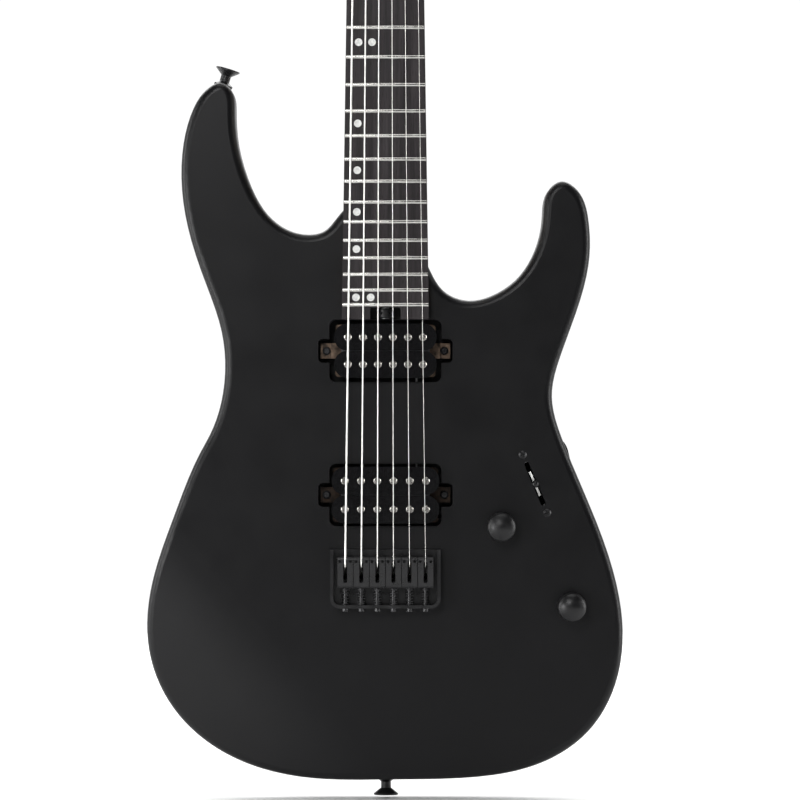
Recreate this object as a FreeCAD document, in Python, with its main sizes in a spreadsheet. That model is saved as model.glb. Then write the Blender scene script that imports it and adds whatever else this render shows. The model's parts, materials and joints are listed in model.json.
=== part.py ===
import FreeCAD, Part

import math
import os

import Sketcher

# Electric guitar: a bolt-on, 24-fret, double-cutaway instrument with two humbuckers and a fixed bridge.
# Frame: +Z runs up the neck to the headstock, +X is the treble side, and the strings face -Y.
# y = 0 is the body's front face.  The origin is on the neck's centre line at the nut's front edge.

# ---------------------------------------------------------------------------------------------------
# Driving dimensions: alias, value in millimetres (or degrees), meaning
# ---------------------------------------------------------------------------------------------------
DIMENSIONS = [
    ("scale_length", 647.7, "nut to twelfth fret, doubled"),
    ("body_thickness", 44.0, "front face to back face"),
    ("front_rim_radius", 5.0, "roundover of the body's front rim"),
    ("back_rim_radius", 4.0, "roundover of the body's back rim"),
    ("forearm_depth", 15.0, "how far the forearm bevel drops at the lower bass edge"),
    ("forearm_crease_radius", 160.0, "rounding where the forearm bevel leaves the front"),
    ("belly_depth", 12.0, "how far the belly cut drops at the bass waist"),
    ("nut_width", 42.5, "fingerboard width at the nut"),
    ("board_end_width", 57.0, "fingerboard width at its body end"),
    ("board_length", 495.3, "nut front edge to the fingerboard's body end"),
    ("board_thickness", 6.35, "fingerboard thickness on its centre line"),
    ("board_height", 9.5, "fingerboard top above the body face"),
    ("board_radius", 406.4, "crown radius of the fingerboard"),
    ("fret_height", 1.2, "crown height"),
    ("fret_width", 2.7, "crown width"),
    ("fret_tang_width", 0.6, "tang width, equal to the slot"),
    ("fret_tang_depth", 1.8, "tang depth, equal to the slot"),
    ("dot_diameter", 5.0, "position marker diameter"),
    ("dot_depth", 1.5, "position marker depth"),
    ("nut_thickness", 3.5, "along the string"),
    ("nut_string_height", 11.2, "string centre above the body face at the nut"),
    ("nut_string_spread", 35.6, "outer string to outer string at the nut"),
    ("bridge_string_spread", 52.5, "outer string to outer string at the bridge"),
    ("saddle_string_height", 13.6, "string centre above the body face at the saddles"),
    ("neck_depth_first", 20.0, "neck and fingerboard together near the nut"),
    ("neck_depth_last", 22.0, "neck and fingerboard together near the heel"),
    ("pocket_depth", 15.9, "depth of the neck pocket"),
    ("heel_length", 74.0, "full-depth heel of the neck"),
    ("head_face_rise", 1.6, "headstock face above the body face"),
    ("head_thickness", 14.5, "headstock thickness"),
    ("tuner_pitch", 25.0, "post to post along the neck"),
    ("first_post_height", 38.0, "nut to the lowest post"),
    ("post_radius", 3.0, "string post radius"),
    ("bushing_radius", 5.0, "threaded bushing radius in the headstock"),
    ("running_clearance", 0.05, "radial clearance of a shaft in its bore"),
    ("clearance", 0.35, "gap between pieces that move past each other"),
    ("neck_pickup_centre", 515.8, "nut to the neck pickup's centre"),
    ("bridge_pickup_centre", 610.2, "nut to the bridge pickup's centre"),
    ("pickup_cavity_depth", 19.0, "depth of the pickup cavities"),
    ("pickup_top", 8.4, "bobbin top above the body face"),
    ("bobbin_height", 8.6, "bobbin height"),
    ("baseplate_thickness", 1.5, "pickup baseplate thickness"),
    ("pickup_leg_drop", 3.5, "how far the baseplate's legs step down"),
    ("magnet_thickness", 2.6, "bar magnet under the bobbins"),
    ("neck_bobbin_length", 67.0, "across the strings"),
    ("neck_bobbin_width", 17.6, "along the strings"),
    ("neck_pole_spread", 49.0, "outer pole to outer pole"),
    ("bridge_bobbin_length", 70.4, "across the strings"),
    ("bridge_bobbin_width", 18.4, "along the strings"),
    ("bridge_pole_spread", 53.0, "outer pole to outer pole"),
    ("bridge_front", 645.9, "nut to the bridge plate's front edge"),
    ("bridge_length", 38.4, "bridge plate, along the strings"),
    ("bridge_width", 72.3, "bridge plate, across the strings"),
    ("bridge_plate_thickness", 2.0, "bridge plate"),
    ("bridge_wall", 2.2, "bridge side and rear walls"),
    ("bridge_wall_height", 9.6, "top of the walls above the body face"),
    ("saddle_front", 650.4, "nut to the saddles' front faces"),
    ("saddle_length", 20.6, "saddle block, along the string"),
    ("saddle_width", 10.1, "saddle block, across the string"),
    ("saddle_slot_width", 2.6, "slot that the string drops through"),
    ("intonation_height", 6.8, "intonation screw axis above the body face"),
    ("intonation_screw_radius", 1.25, "intonation screw radius"),
    ("control_top", 6.5, "wood left in front of the control cavity"),
    ("control_corner", 9.0, "corner radius of the control cavity"),
    ("cover_lip", 5.5, "how far the cover overlaps the control cavity"),
    ("cover_thickness", 2.5, "control cavity cover"),
    ("knob_radius", 9.5, "knob skirt radius"),
    ("knob_height", 16.0, "knob height"),
    ("pot_shaft_radius", 3.0, "potentiometer shaft"),
    ("switch_pivot_depth", 18.0, "lever pivot behind the body face"),
    ("switch_slot_length", 31.0, "lever slot in the body"),
    ("switch_slot_width", 3.2, "lever slot in the body"),
    ("switch_screw_pitch", 41.3, "between the switch's two screws"),
    ("jack_bore_radius", 3.25, "output socket bore for a 6.35 mm plug"),
    ("jack_length", 26.0, "output socket length"),
    ("strap_flange_radius", 8.0, "strap button flange"),
    ("strap_waist_radius", 3.3, "strap button waist"),
    ("strap_button_height", 11.5, "strap button height"),
]

doc = FreeCAD.newDocument("electric_guitar")
sheet = doc.addObject("Spreadsheet::Sheet", "dims")
for row, (alias, value, meaning) in enumerate(DIMENSIONS, start=1):
    sheet.set(f"A{row}", alias)
    sheet.set(f"B{row}", str(value))
    sheet.set(f"C{row}", meaning)
    sheet.setAlias(f"B{row}", alias)
doc.recompute()


class Size:
    """A number together with the spreadsheet expression that gives it."""

    def __init__(self, value, text=None):
        self.value = float(value)
        self.text = text or f"({self.value})"

    def __add__(self, other):
        other = as_size(other)
        return Size(self.value + other.value, f"({self.text} + {other.text})")

    def __sub__(self, other):
        other = as_size(other)
        return Size(self.value - other.value, f"({self.text} - {other.text})")

    def __mul__(self, other):
        other = as_size(other)
        return Size(self.value * other.value, f"({self.text} * {other.text})")

    def __truediv__(self, other):
        other = as_size(other)
        return Size(self.value / other.value, f"({self.text} / {other.text})")

    def __neg__(self):
        return Size(-self.value, f"(0 - {self.text})")

    def __radd__(self, other):
        return as_size(other) + self

    def __rsub__(self, other):
        return as_size(other) - self

    def __rmul__(self, other):
        return as_size(other) * self

    def __float__(self):
        return self.value


def as_size(number):
    return number if isinstance(number, Size) else Size(number)


class Dimensions:
    """Attribute access to the spreadsheet's cells as sizes."""

    def __getattr__(self, alias):
        return Size(sheet.get(alias), f"dims.{alias}")


d = Dimensions()
BACK = d.body_thickness
Vector = FreeCAD.Vector
X_AXIS = Vector(1, 0, 0)
Y_AXIS = Vector(0, 1, 0)
Z_AXIS = Vector(0, 0, 1)


def shifted(place):
    """Placement that only moves."""
    return FreeCAD.Placement(place, FreeCAD.Rotation())


def facing(place, direction):
    """Placement that carries the local Z axis onto a direction."""
    return FreeCAD.Placement(place, FreeCAD.Rotation(Z_AXIS, direction))


# ---------------------------------------------------------------------------------------------------
# Sketch and feature helpers
# ---------------------------------------------------------------------------------------------------
def bind(item, **sizes):
    """Bind properties of a document object to spreadsheet expressions."""
    for name, size in sizes.items():
        item.setExpression(name, as_size(size).text)


def new_body(name):
    body = doc.addObject("PartDesign::Body", name)
    body.Label = name
    return body


def sketch_on(body, name, role, level=0.0):
    """A sketch on one of the body's origin planes, moved by level along that plane's world axis.

    XZ_Plane sketches draw in (x, z), XY_Plane sketches in (x, y) and YZ_Plane sketches in (y, z).
    """
    sketch = body.newObject("Sketcher::SketchObject", name)
    plane = next(item for item in body.Origin.OriginFeatures if item.Role == role)
    sketch.AttachmentSupport = [(plane, "")]
    sketch.MapMode = "FlatFace"
    level = as_size(level)
    if role == "XZ_Plane":
        level = -level
    sketch.AttachmentOffset = shifted(Vector(0, 0, level.value))
    sketch.setExpression("AttachmentOffset.Base.z", level.text)
    return sketch


def pin_point(sketch, geometry, point, across, up):
    """Fix a sketch point by its two coordinates, bound to the spreadsheet."""
    for kind, size in (("DistanceX", as_size(across)), ("DistanceY", as_size(up))):
        index = sketch.addConstraint(
            Sketcher.Constraint(kind, -1, 1, geometry, point, size.value)
        )
        sketch.setExpression(f"Constraints[{index}]", size.text)


def draw_circle(sketch, across, up, radius):
    across, up, radius = as_size(across), as_size(up), as_size(radius)
    circle = Part.Circle(Vector(across.value, up.value, 0), Z_AXIS, radius.value)
    geometry = sketch.addGeometry(circle, False)
    pin_point(sketch, geometry, 3, across, up)
    index = sketch.addConstraint(Sketcher.Constraint("Radius", geometry, radius.value))
    sketch.setExpression(f"Constraints[{index}]", radius.text)


def draw_polygon(sketch, corners):
    """A closed outline whose corners are bound to the spreadsheet.

    A corner is (across, up), or (across, up, via) where the side that leaves it is an arc through via.
    """
    places = [Vector(float(corner[0]), float(corner[1]), 0) for corner in corners]
    sides, starts = [], []
    for corner, start, end in zip(corners, places, places[1:] + places[:1]):
        side = Part.LineSegment(start, end)
        turns_left = True
        if len(corner) == 3:
            via = Vector(float(corner[2][0]), float(corner[2][1]), 0)
            side = Part.Arc(start, via, end)
            turns_left = (via - start).cross(end - via).z > 0
        sides.append(sketch.addGeometry(side, False))
        starts.append(1 if turns_left else 2)
    for index, side in enumerate(sides):
        following = (index + 1) % len(sides)
        sketch.addConstraint(
            Sketcher.Constraint("Coincident", side, 3 - starts[index], sides[following], starts[following])
        )
    for side, start, corner in zip(sides, starts, corners):
        pin_point(sketch, side, start, corner[0], corner[1])


def rectangle(across, up, width, height):
    """Corners of a rectangle about a centre."""
    across, up = as_size(across), as_size(up)
    half_width, half_height = as_size(width) / 2, as_size(height) / 2
    return [
        (across - half_width, up - half_height),
        (across + half_width, up - half_height),
        (across + half_width, up + half_height),
        (across - half_width, up + half_height),
    ]


def draw_rounded(sketch, corners, radius):
    """A closed outline of straight sides joined by tangent arcs of one radius."""
    radius = as_size(radius)
    places = [Vector(float(across), float(up), 0) for across, up in corners]
    pieces = []
    for before, corner, after in zip(places[-1:] + places[:-1], places, places[1:] + places[:1]):
        arrive = (before - corner).normalize()
        leave = (after - corner).normalize()
        half_turn = arrive.getAngle(leave) / 2
        reach = radius.value / math.tan(half_turn)
        centre = corner + (arrive + leave).normalize() * (radius.value / math.sin(half_turn))
        middle = centre + (corner - centre).normalize() * radius.value
        pieces.append((corner + arrive * reach, middle, corner + leave * reach))
    arcs = [sketch.addGeometry(Part.Arc(*piece), False) for piece in pieces]
    for index, piece in enumerate(pieces):
        following = pieces[(index + 1) % len(pieces)]
        sketch.addGeometry(Part.LineSegment(piece[2], following[0]), False)
    for arc in arcs:
        index = sketch.addConstraint(Sketcher.Constraint("Radius", arc, radius.value))
        sketch.setExpression(f"Constraints[{index}]", radius.text)


def pad(body, sketch, length, reverse=False):
    """Pad along the sketch's normal; on XZ_Plane that is towards the front unless reversed."""
    feature = body.newObject("PartDesign::Pad", sketch.Name + "_pad")
    feature.Profile = sketch
    feature.Refine = False
    feature.Reversed = reverse
    bind(feature, Length=length)
    doc.recompute()
    return feature


def pocket(body, sketch, depth, reverse=False):
    """Cut against the sketch's normal; on XZ_Plane that is towards the back unless reversed."""
    before = body.Shape.Volume
    feature = body.newObject("PartDesign::Pocket", sketch.Name + "_cut")
    feature.Profile = sketch
    feature.Refine = False
    feature.Reversed = reverse
    bind(feature, Length=depth)
    doc.recompute()
    if body.Shape.Volume > before - 1e-3:
        raise RuntimeError(f"{feature.Name} removes nothing")
    return feature


def revolve(body, sketch, angle=360.0):
    """Turn a sketch about its own vertical axis."""
    feature = body.newObject("PartDesign::Revolution", sketch.Name + "_turned")
    feature.Profile = sketch
    feature.ReferenceAxis = (sketch, ["V_Axis"])
    feature.Angle = angle
    doc.recompute()
    return feature


def drill(body, name, foot, direction, radius, length):
    """Cut a cylinder that starts at foot and runs along direction."""
    before = body.Shape.Volume
    feature = body.newObject("PartDesign::SubtractiveCylinder", name)
    feature.Placement = FreeCAD.Placement(foot, FreeCAD.Rotation(Z_AXIS, direction))
    bind(feature, Radius=radius, Height=length)
    doc.recompute()
    if body.Shape.Volume > before - 1e-3:
        raise RuntimeError(f"{name} removes nothing")
    return feature


def fillet(body, edge_names, radius):
    base = body.Tip
    feature = body.newObject("PartDesign::Fillet", f"{body.Name}_rounding")
    feature.Base = (base, edge_names)
    bind(feature, Radius=radius)
    doc.recompute()
    return feature


# ---------------------------------------------------------------------------------------------------
# Body: one closed smooth outline, from the treble side of the neck heel round the tail and back
# ---------------------------------------------------------------------------------------------------
TREBLE_HORN = [
    (27.8, -460.0),
    (37.5, -475.8),
    (53.5, -482.7),
    (73.0, -478.0),
    (88.5, -466.0),
    (98.6, -449.2),
    (103.3, -428.5),
    (106.6, -411.0),
    (115.3, -404.6),
    (126.0, -410.5),
    (133.2, -430.0),
    (133.8, -454.5),
]
LOWER_BOUT = [
    (126.0, -488.0),
    (115.0, -518.7),
    (109.2, -545.0),
    (115.7, -573.0),
    (135.4, -620.5),
    (151.4, -667.9),
    (155.7, -699.5),
    (151.0, -734.0),
    (134.0, -764.3),
    (103.5, -785.5),
    (56.0, -795.6),
    (0.0, -797.0),
    (-54.6, -795.7),
    (-103.0, -781.8),
    (-137.0, -754.5),
    (-155.0, -716.0),
    (-154.5, -674.0),
    (-138.6, -623.8),
]
BASS_HORN = [
    (-118.1, -576.3),
    (-105.8, -537.5),
    (-107.1, -505.2),
    (-120.1, -465.7),
    (-131.8, -424.0),
    (-133.6, -390.0),
    (-126.4, -357.8),
    (-117.0, -344.0),
    (-107.5, -339.9),
    (-100.6, -345.5),
    (-98.6, -358.0),
    (-97.2, -378.0),
    (-90.3, -403.1),
    (-76.0, -427.6),
    (-57.5, -438.6),
    (-39.5, -436.8),
    (-28.5, -424.5),
]
HEEL = [
    (-17.0, -417.5),
    (2.0, -426.0),
    (18.0, -443.0),
]

OUTLINE_PIECES = 6

# The forearm bevel is a flat cut from a rounded crease line outwards; the belly cut is part of a large cylinder.
FOREARM_CREASE = Vector(-89.5, 0, -719.0)
FOREARM_OUTWARDS = Vector(-0.776, 0, -0.631)
FOREARM_REACH = 58.0
NEAR = 0.05
BELLY_START = Vector(-62.0, 0, -535.0)
BELLY_REACH = 46.0
BELLY_RADIUS = 330.0


def draw_smooth_outline(sketch, places, pieces):
    """One periodic spline through the places, divided into pieces that share tangents."""
    curve = Part.BSplineCurve()
    curve.interpolate(Points=[Vector(x, z, 0) for x, z in places], PeriodicFlag=True)
    first, last = curve.FirstParameter, curve.LastParameter
    steps = [first + (last - first) * index / pieces for index in range(pieces + 1)]
    for start, end in zip(steps, steps[1:]):
        piece = curve.copy()
        piece.segment(start, end)
        sketch.addGeometry(piece, False)


def cut_forearm_bevel(body):
    """Cut flat from the crease line, reaching forearm_depth at FOREARM_REACH beyond it."""
    slope = math.atan2(d.forearm_depth.value, FOREARM_REACH)
    down_slope = FOREARM_OUTWARDS * math.cos(slope) + Y_AXIS * math.sin(slope)
    normal = FOREARM_OUTWARDS * math.sin(slope) - Y_AXIS * math.cos(slope)
    along = normal.cross(down_slope)
    block = body.newObject("PartDesign::SubtractiveBox", "forearm_bevel")
    block.Length, block.Width, block.Height = 120.0, 300.0, 60.0
    start = FOREARM_CREASE - along * 150.0
    block.Placement = FreeCAD.Placement(FreeCAD.Matrix(
        down_slope.x, along.x, normal.x, start.x,
        down_slope.y, along.y, normal.y, start.y,
        down_slope.z, along.z, normal.z, start.z,
        0, 0, 0, 1,
    ))
    doc.recompute()


def crease_edges(body):
    """The straight edge in the front face where the forearm bevel starts."""
    names = []
    for index, edge in enumerate(body.Shape.Edges, start=1):
        offsets = [vertex.Point - FOREARM_CREASE for vertex in edge.Vertexes]
        on_line = [abs(offset.dot(FOREARM_OUTWARDS)) < NEAR and abs(offset.y) < NEAR for offset in offsets]
        if len(offsets) == 2 and all(on_line):
            names.append(f"Edge{index}")
    return names


def cut_belly(body):
    """Scoop the back at the bass waist with a large cylinder that gets deeper towards the edge."""
    slope = math.atan2(d.belly_depth.value, BELLY_REACH)
    axis = Vector(-math.cos(slope), -math.sin(slope), 0)
    outwards = Vector(-math.sin(slope), math.cos(slope), 0)
    foot = BELLY_START + Y_AXIS * BACK.value + outwards * BELLY_RADIUS - axis * 20.0
    scoop = body.newObject("PartDesign::SubtractiveCylinder", "belly_cut")
    scoop.Placement = FreeCAD.Placement(foot, FreeCAD.Rotation(Z_AXIS, axis))
    scoop.Radius, scoop.Height = BELLY_RADIUS, 120.0
    doc.recompute()


def rim_edges(body, towards):
    """Edges round the front or the back of the body: each bounds one outer face of that side."""
    chosen = []
    for face in body.Shape.Faces:
        middle = [sum(pair) / 2 for pair in zip(face.ParameterRange[::2], face.ParameterRange[1::2])]
        if face.normalAt(*middle).dot(towards) > 0.5:
            chosen.append(face)
    names = []
    for index, edge in enumerate(body.Shape.Edges, start=1):
        owners = [face for face in chosen if any(edge.isSame(other) for other in face.Edges)]
        if len(owners) == 1:
            names.append(f"Edge{index}")
    return names


body = new_body("body_blank")
outline = sketch_on(body, "body_outline", "XZ_Plane")
draw_smooth_outline(outline, BASS_HORN + HEEL + TREBLE_HORN + LOWER_BOUT, OUTLINE_PIECES)
pad(body, outline, d.body_thickness, reverse=True)
cut_forearm_bevel(body)
fillet(body, crease_edges(body), d.forearm_crease_radius)
cut_belly(body)
fillet(body, rim_edges(body, -Y_AXIS), d.front_rim_radius)
fillet(body, rim_edges(body, Y_AXIS), d.back_rim_radius)


# ---------------------------------------------------------------------------------------------------
# Pieces that are bought in: every one is made at its own origin and placed where it belongs
# ---------------------------------------------------------------------------------------------------
pieces = {}


def keep(name, item):
    """Register a document object as a sub-part; its label names the file."""
    item.Label = name
    pieces[name] = item
    return item


def turned(name, profile, placement=None):
    """A body turned about its own Z axis from (radius, height) corners."""
    piece = new_body(name)
    sketch = sketch_on(piece, name + "_profile", "XZ_Plane")
    draw_polygon(sketch, profile)
    revolve(piece, sketch)
    if placement is not None:
        piece.Placement = placement
    return piece


def compound(name, shapes):
    """Several separate solids as one object of the document."""
    item = doc.addObject("Part::Feature", name)
    item.Shape = Part.makeCompound(shapes)
    return item


def group(name, shapes):
    """One node that holds several separate solids."""
    return keep(name, compound(name, shapes))


def placed(item, placement):
    """A copy of an object's shape, carried along by a placement."""
    shape = item.Shape.copy()
    shape.Placement = placement.multiply(item.Placement)
    return shape


def copies(name, master, placements):
    """One node of identical pieces, each a copy of the master at a placement."""
    return group(name, [placed(master, placement) for placement in placements])


def seats(name, master, placements):
    """The room that turned pieces need in their neighbours: their turned form, with no drive recess."""
    turned_form = next(item for item in master.Group if item.isDerivedFrom("PartDesign::Revolution"))
    local = master.Placement.multiply(turned_form.Placement)
    shapes = []
    for placement in placements:
        shape = turned_form.Shape.copy()
        shape.Placement = placement.multiply(local)
        shapes.append(shape)
    return compound(name + "_seats", shapes)




def fitted(name, blank, inserts):
    """The blank with a seat for every inserted piece, cut to the insert's own shape."""
    result = blank
    for index, insert in enumerate(inserts, start=1):
        cut = doc.addObject("Part::Cut", name if index == len(inserts) else f"{name}_fit_{index}")
        cut.Base, cut.Tool = result, insert
        result = cut
    doc.recompute()
    return keep(name, result)


def countersunk_screw(name, head_radius, shank_radius, length):
    """A screw whose flat head is at height 0 and whose shank runs along +Z."""
    sink = (as_size(head_radius) - shank_radius) * 0.95
    tip = as_size(shank_radius) * 1.5
    screw = turned(name, [
        (0, 0), (head_radius, 0), (shank_radius, sink), (shank_radius, length - tip), (0, length),
    ])
    cross = sketch_on(screw, name + "_cross", "XY_Plane")
    draw_cross(cross, head_radius)
    pocket(screw, cross, as_size(head_radius) * 0.4, reverse=True)
    return screw


def pan_screw(name, head_radius, head_height, shank_radius, length):
    """A screw whose domed head stands below height 0 and whose shank runs along +Z."""
    rise = as_size(head_height)
    tip = as_size(shank_radius) * 1.5
    screw = turned(name, [
        (0, -rise), (as_size(head_radius) * 0.6, -rise), (head_radius, -rise * 0.4), (head_radius, 0),
        (shank_radius, 0), (shank_radius, length - tip), (0, length),
    ])
    cross = sketch_on(screw, name + "_cross", "XY_Plane", -rise)
    draw_cross(cross, head_radius)
    pocket(screw, cross, rise * 0.55, reverse=True)
    return screw


def draw_cross(sketch, head_radius):
    """The outline of a cross recess for a head of this radius."""
    reach = as_size(head_radius) * 0.55
    half = as_size(head_radius) * 0.13
    draw_polygon(sketch, [
        (half, half), (reach, half), (reach, -half), (half, -half), (half, -reach), (-half, -reach),
        (-half, -half), (-reach, -half), (-reach, half), (-half, half), (-half, reach), (half, reach),
    ])


def tube(points, bends, radius):
    """A round rod along straight runs joined by tangent arcs, one bend radius per inner point."""
    edges = []
    start = points[0]
    for before, corner, after, bend in zip(points, points[1:], points[2:], bends):
        arrive = (before - corner).normalize()
        leave = (after - corner).normalize()
        half_turn = arrive.getAngle(leave) / 2
        reach = bend / math.tan(half_turn)
        centre = corner + (arrive + leave).normalize() * (bend / math.sin(half_turn))
        first, last = corner + arrive * reach, corner + leave * reach
        middle = centre + (corner - centre).normalize() * bend
        if start.distanceToPoint(first) > 1e-6:
            edges.append(Part.LineSegment(start, first).toShape())
        edges.append(Part.Arc(first, middle, last).toShape())
        start = last
    if start.distanceToPoint(points[-1]) > 1e-6:
        edges.append(Part.LineSegment(start, points[-1]).toShape())
    path = Part.Wire(edges)
    section = Part.Wire(Part.Circle(points[0], points[1] - points[0], radius).toShape())
    rod = path.makePipeShell([section], True, False)
    length = sum(edge.Length for edge in edges)
    if abs(rod.Volume / (math.pi * radius ** 2 * length) - 1) > 0.02:
        raise RuntimeError("a tube's volume is not its section times its length")
    return rod


def board_width(distance):
    """Fingerboard and neck width at a distance from the nut."""
    return d.nut_width + (d.board_end_width - d.nut_width) * (as_size(distance) / d.board_length)


def fret_distance(number):
    """Distance from the nut to a fret."""
    return d.scale_length * (1 - 2 ** (-number / 12))


def string_across(index, distance):
    """Signed offset of a string from the centre line, bass string first, at a distance from the nut."""
    spread = d.nut_string_spread + (d.bridge_string_spread - d.nut_string_spread) * (
        as_size(distance) / d.saddle_front
    )
    return spread * (index / 5 - 0.5)


def crown_drop(across):
    """How much lower than the centre line the board's crown is at an offset from it."""
    across = as_size(across)
    return across * across / (d.board_radius * 2)


# ---------------------------------------------------------------------------------------------------
# Neck: headstock, shaft and heel in one piece of wood
# ---------------------------------------------------------------------------------------------------
STRINGS = range(6)
HEADSTOCK = [
    (-22.0, 9.0),
    (-27.8, 18.6),
    (-35.0, 28.0),
    (-34.6, 41.0),
    (-25.4, 76.0),
    (-13.6, 121.5),
    (-2.0, 166.5),
    (3.5, 183.5),
    (12.5, 190.5),
    (22.5, 184.5),
    (30.5, 165.0),
    (33.0, 140.0),
    (30.6, 100.0),
    (26.6, 60.0),
    (22.8, 22.0),
    (20.6, 6.0),
    (10.0, 0.0),
    (-10.0, 0.0),
]
BOARD_BACK = -(d.board_height - d.board_thickness)
HEAD_FACE = -d.head_face_rise
HEAD_BACK = HEAD_FACE + d.head_thickness
NOTCH_WIDTH, NOTCH_LENGTH, NOTCH_DEPTH, NOTCH_CORNER = 20.0, 7.9, 11.6, 1.6
ROD_WIDTH, ROD_DEPTH, ROD_START = 6.0, 10.0, 12.0
ROD_AXIS = BOARD_BACK + ROD_DEPTH / 2


def neck_section(body, name, distance, front, back):
    """A section of the neck shaft: flat in front, one arc behind."""
    half = board_width(distance) / 2
    sketch = sketch_on(body, name, "XY_Plane", -as_size(distance))
    draw_polygon(sketch, [(-half, front), (half, front, (0, back))])
    return sketch


neck_blank = new_body("neck_blank")
heel = sketch_on(neck_blank, "heel_outline", "XZ_Plane", BOARD_BACK)
heel_start = d.board_length - d.heel_length
draw_polygon(heel, [
    (-board_width(heel_start) / 2, -heel_start), (board_width(heel_start) / 2, -heel_start),
    (board_width(d.board_length) / 2, -d.board_length), (-board_width(d.board_length) / 2, -d.board_length),
])
pad(neck_blank, heel, d.pocket_depth - BOARD_BACK, reverse=True)

shaft_sections = [
    neck_section(neck_blank, "shaft_head", -14.0, HEAD_FACE + 1.0, HEAD_BACK - 0.8),
    neck_section(neck_blank, "shaft_nut", -4.0, BOARD_BACK, d.neck_depth_first - d.board_height),
    neck_section(neck_blank, "shaft_last", heel_start - 28.0, BOARD_BACK, d.neck_depth_last - d.board_height),
    neck_section(neck_blank, "shaft_heel", heel_start + 1.0, BOARD_BACK, d.pocket_depth),
]
for upper, lower in reversed(list(zip(shaft_sections, shaft_sections[1:]))):
    loft = neck_blank.newObject("PartDesign::AdditiveLoft", upper.Name + "_loft")
    loft.Profile = upper
    loft.Sections = [lower]
    loft.Ruled = True
    loft.Refine = False
    doc.recompute()

head = sketch_on(neck_blank, "headstock_outline", "XZ_Plane", HEAD_FACE)
draw_smooth_outline(head, HEADSTOCK, 4)
pad(neck_blank, head, d.head_thickness, reverse=True)

channel = sketch_on(neck_blank, "rod_channel", "XZ_Plane", BOARD_BACK)
channel_length = d.board_length - ROD_START
draw_polygon(channel, rectangle(0, -(ROD_START + channel_length / 2), ROD_WIDTH, channel_length))
pocket(neck_blank, channel, ROD_DEPTH)
notch = sketch_on(neck_blank, "wheel_notch", "XZ_Plane", BOARD_BACK)
draw_polygon(notch, rectangle(0, -(d.board_length - NOTCH_LENGTH / 2), NOTCH_WIDTH, NOTCH_LENGTH))
pocket(neck_blank, notch, NOTCH_DEPTH)

# ---------------------------------------------------------------------------------------------------
# Truss rod and its spoke wheel
# ---------------------------------------------------------------------------------------------------
ROD_TIP_RADIUS = 2.5
WHEEL_RADIUS, WHEEL_LENGTH = 5.5, 6.0
bar = doc.addObject("Part::Box", "rod_bar")
bar_length = d.board_length - NOTCH_LENGTH - ROD_START - 2.0
bind(bar, Length=ROD_WIDTH, Width=ROD_DEPTH, Height=bar_length)
bar.Placement.Base = Vector(-ROD_WIDTH / 2, BOARD_BACK.value, -(ROD_START + bar_length.value))
rod_tip = doc.addObject("Part::Cylinder", "rod_tip")
bind(rod_tip, Radius=ROD_TIP_RADIUS, Height=NOTCH_LENGTH + 3.0)
rod_tip.Placement.Base = Vector(0, ROD_AXIS.value, -(d.board_length.value - 0.5))
rod = doc.addObject("Part::Fuse", "truss_rod")
rod.Base, rod.Tool = bar, rod_tip
keep("truss_rod", rod)

wheel_top = -(d.board_length - NOTCH_LENGTH + 0.9)
wheel = turned("truss_wheel", [
    (ROD_TIP_RADIUS + d.running_clearance, 0), (WHEEL_RADIUS - 0.5, 0), (WHEEL_RADIUS, 0.5),
    (WHEEL_RADIUS, WHEEL_LENGTH - 0.5), (WHEEL_RADIUS - 0.5, WHEEL_LENGTH),
    (ROD_TIP_RADIUS + d.running_clearance, WHEEL_LENGTH),
], facing(Vector(0, ROD_AXIS.value, wheel_top.value), -Z_AXIS))
for index in range(3):
    turn = math.radians(index * 60)
    across = Vector(math.cos(turn), math.sin(turn), 0)
    drill(wheel, f"spoke_hole_{index + 1}", across * -8 + Z_AXIS * WHEEL_LENGTH / 2, across, 1.1, 16.0)
keep("truss_wheel", wheel)

# ---------------------------------------------------------------------------------------------------
# Fingerboard, frets, position dots and nut
# ---------------------------------------------------------------------------------------------------
FRETS = range(1, 25)
SINGLE_DOTS = (3, 5, 7, 9, 15, 17, 19, 21)
DOUBLE_DOTS = (12, 24)
SIDE_DOT_RADIUS, SIDE_DOT_DEPTH = 1.1, 1.4
DOT_PROUD = 0.03
FRET_INSET = 0.4
board_top = -d.board_height
crown_axis = Vector(0, (board_top + d.board_radius).value, 0)

board_blank = new_body("board_blank")
half_end = d.board_end_width / 2 + 1
edge_top = board_top + crown_drop(half_end)
section = sketch_on(board_blank, "board_section", "XY_Plane")
draw_polygon(section, [
    (-half_end, BOARD_BACK), (half_end, BOARD_BACK), (half_end, edge_top, (0, board_top)),
    (-half_end, edge_top),
])
pad(board_blank, section, d.board_length, reverse=True)
for side in (-1, 1):
    taper = sketch_on(board_blank, f"board_taper_{side + 2}", "XZ_Plane", board_top - 2)
    beyond = d.board_length + 1
    draw_polygon(taper, [
        (board_width(-1) / 2 * side, 1), (d.board_end_width * side, 1),
        (d.board_end_width * side, -beyond), (board_width(beyond) / 2 * side, -beyond),
    ])
    pocket(board_blank, taper, d.board_thickness + 4)
board_notch = sketch_on(board_blank, "board_notch", "XZ_Plane", board_top - 2)
notch_middle = d.board_length - NOTCH_LENGTH / 2 + 1
draw_rounded(board_notch, rectangle(0, -notch_middle, NOTCH_WIDTH, NOTCH_LENGTH + 2), NOTCH_CORNER)
pocket(board_blank, board_notch, d.board_thickness + 4)


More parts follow.
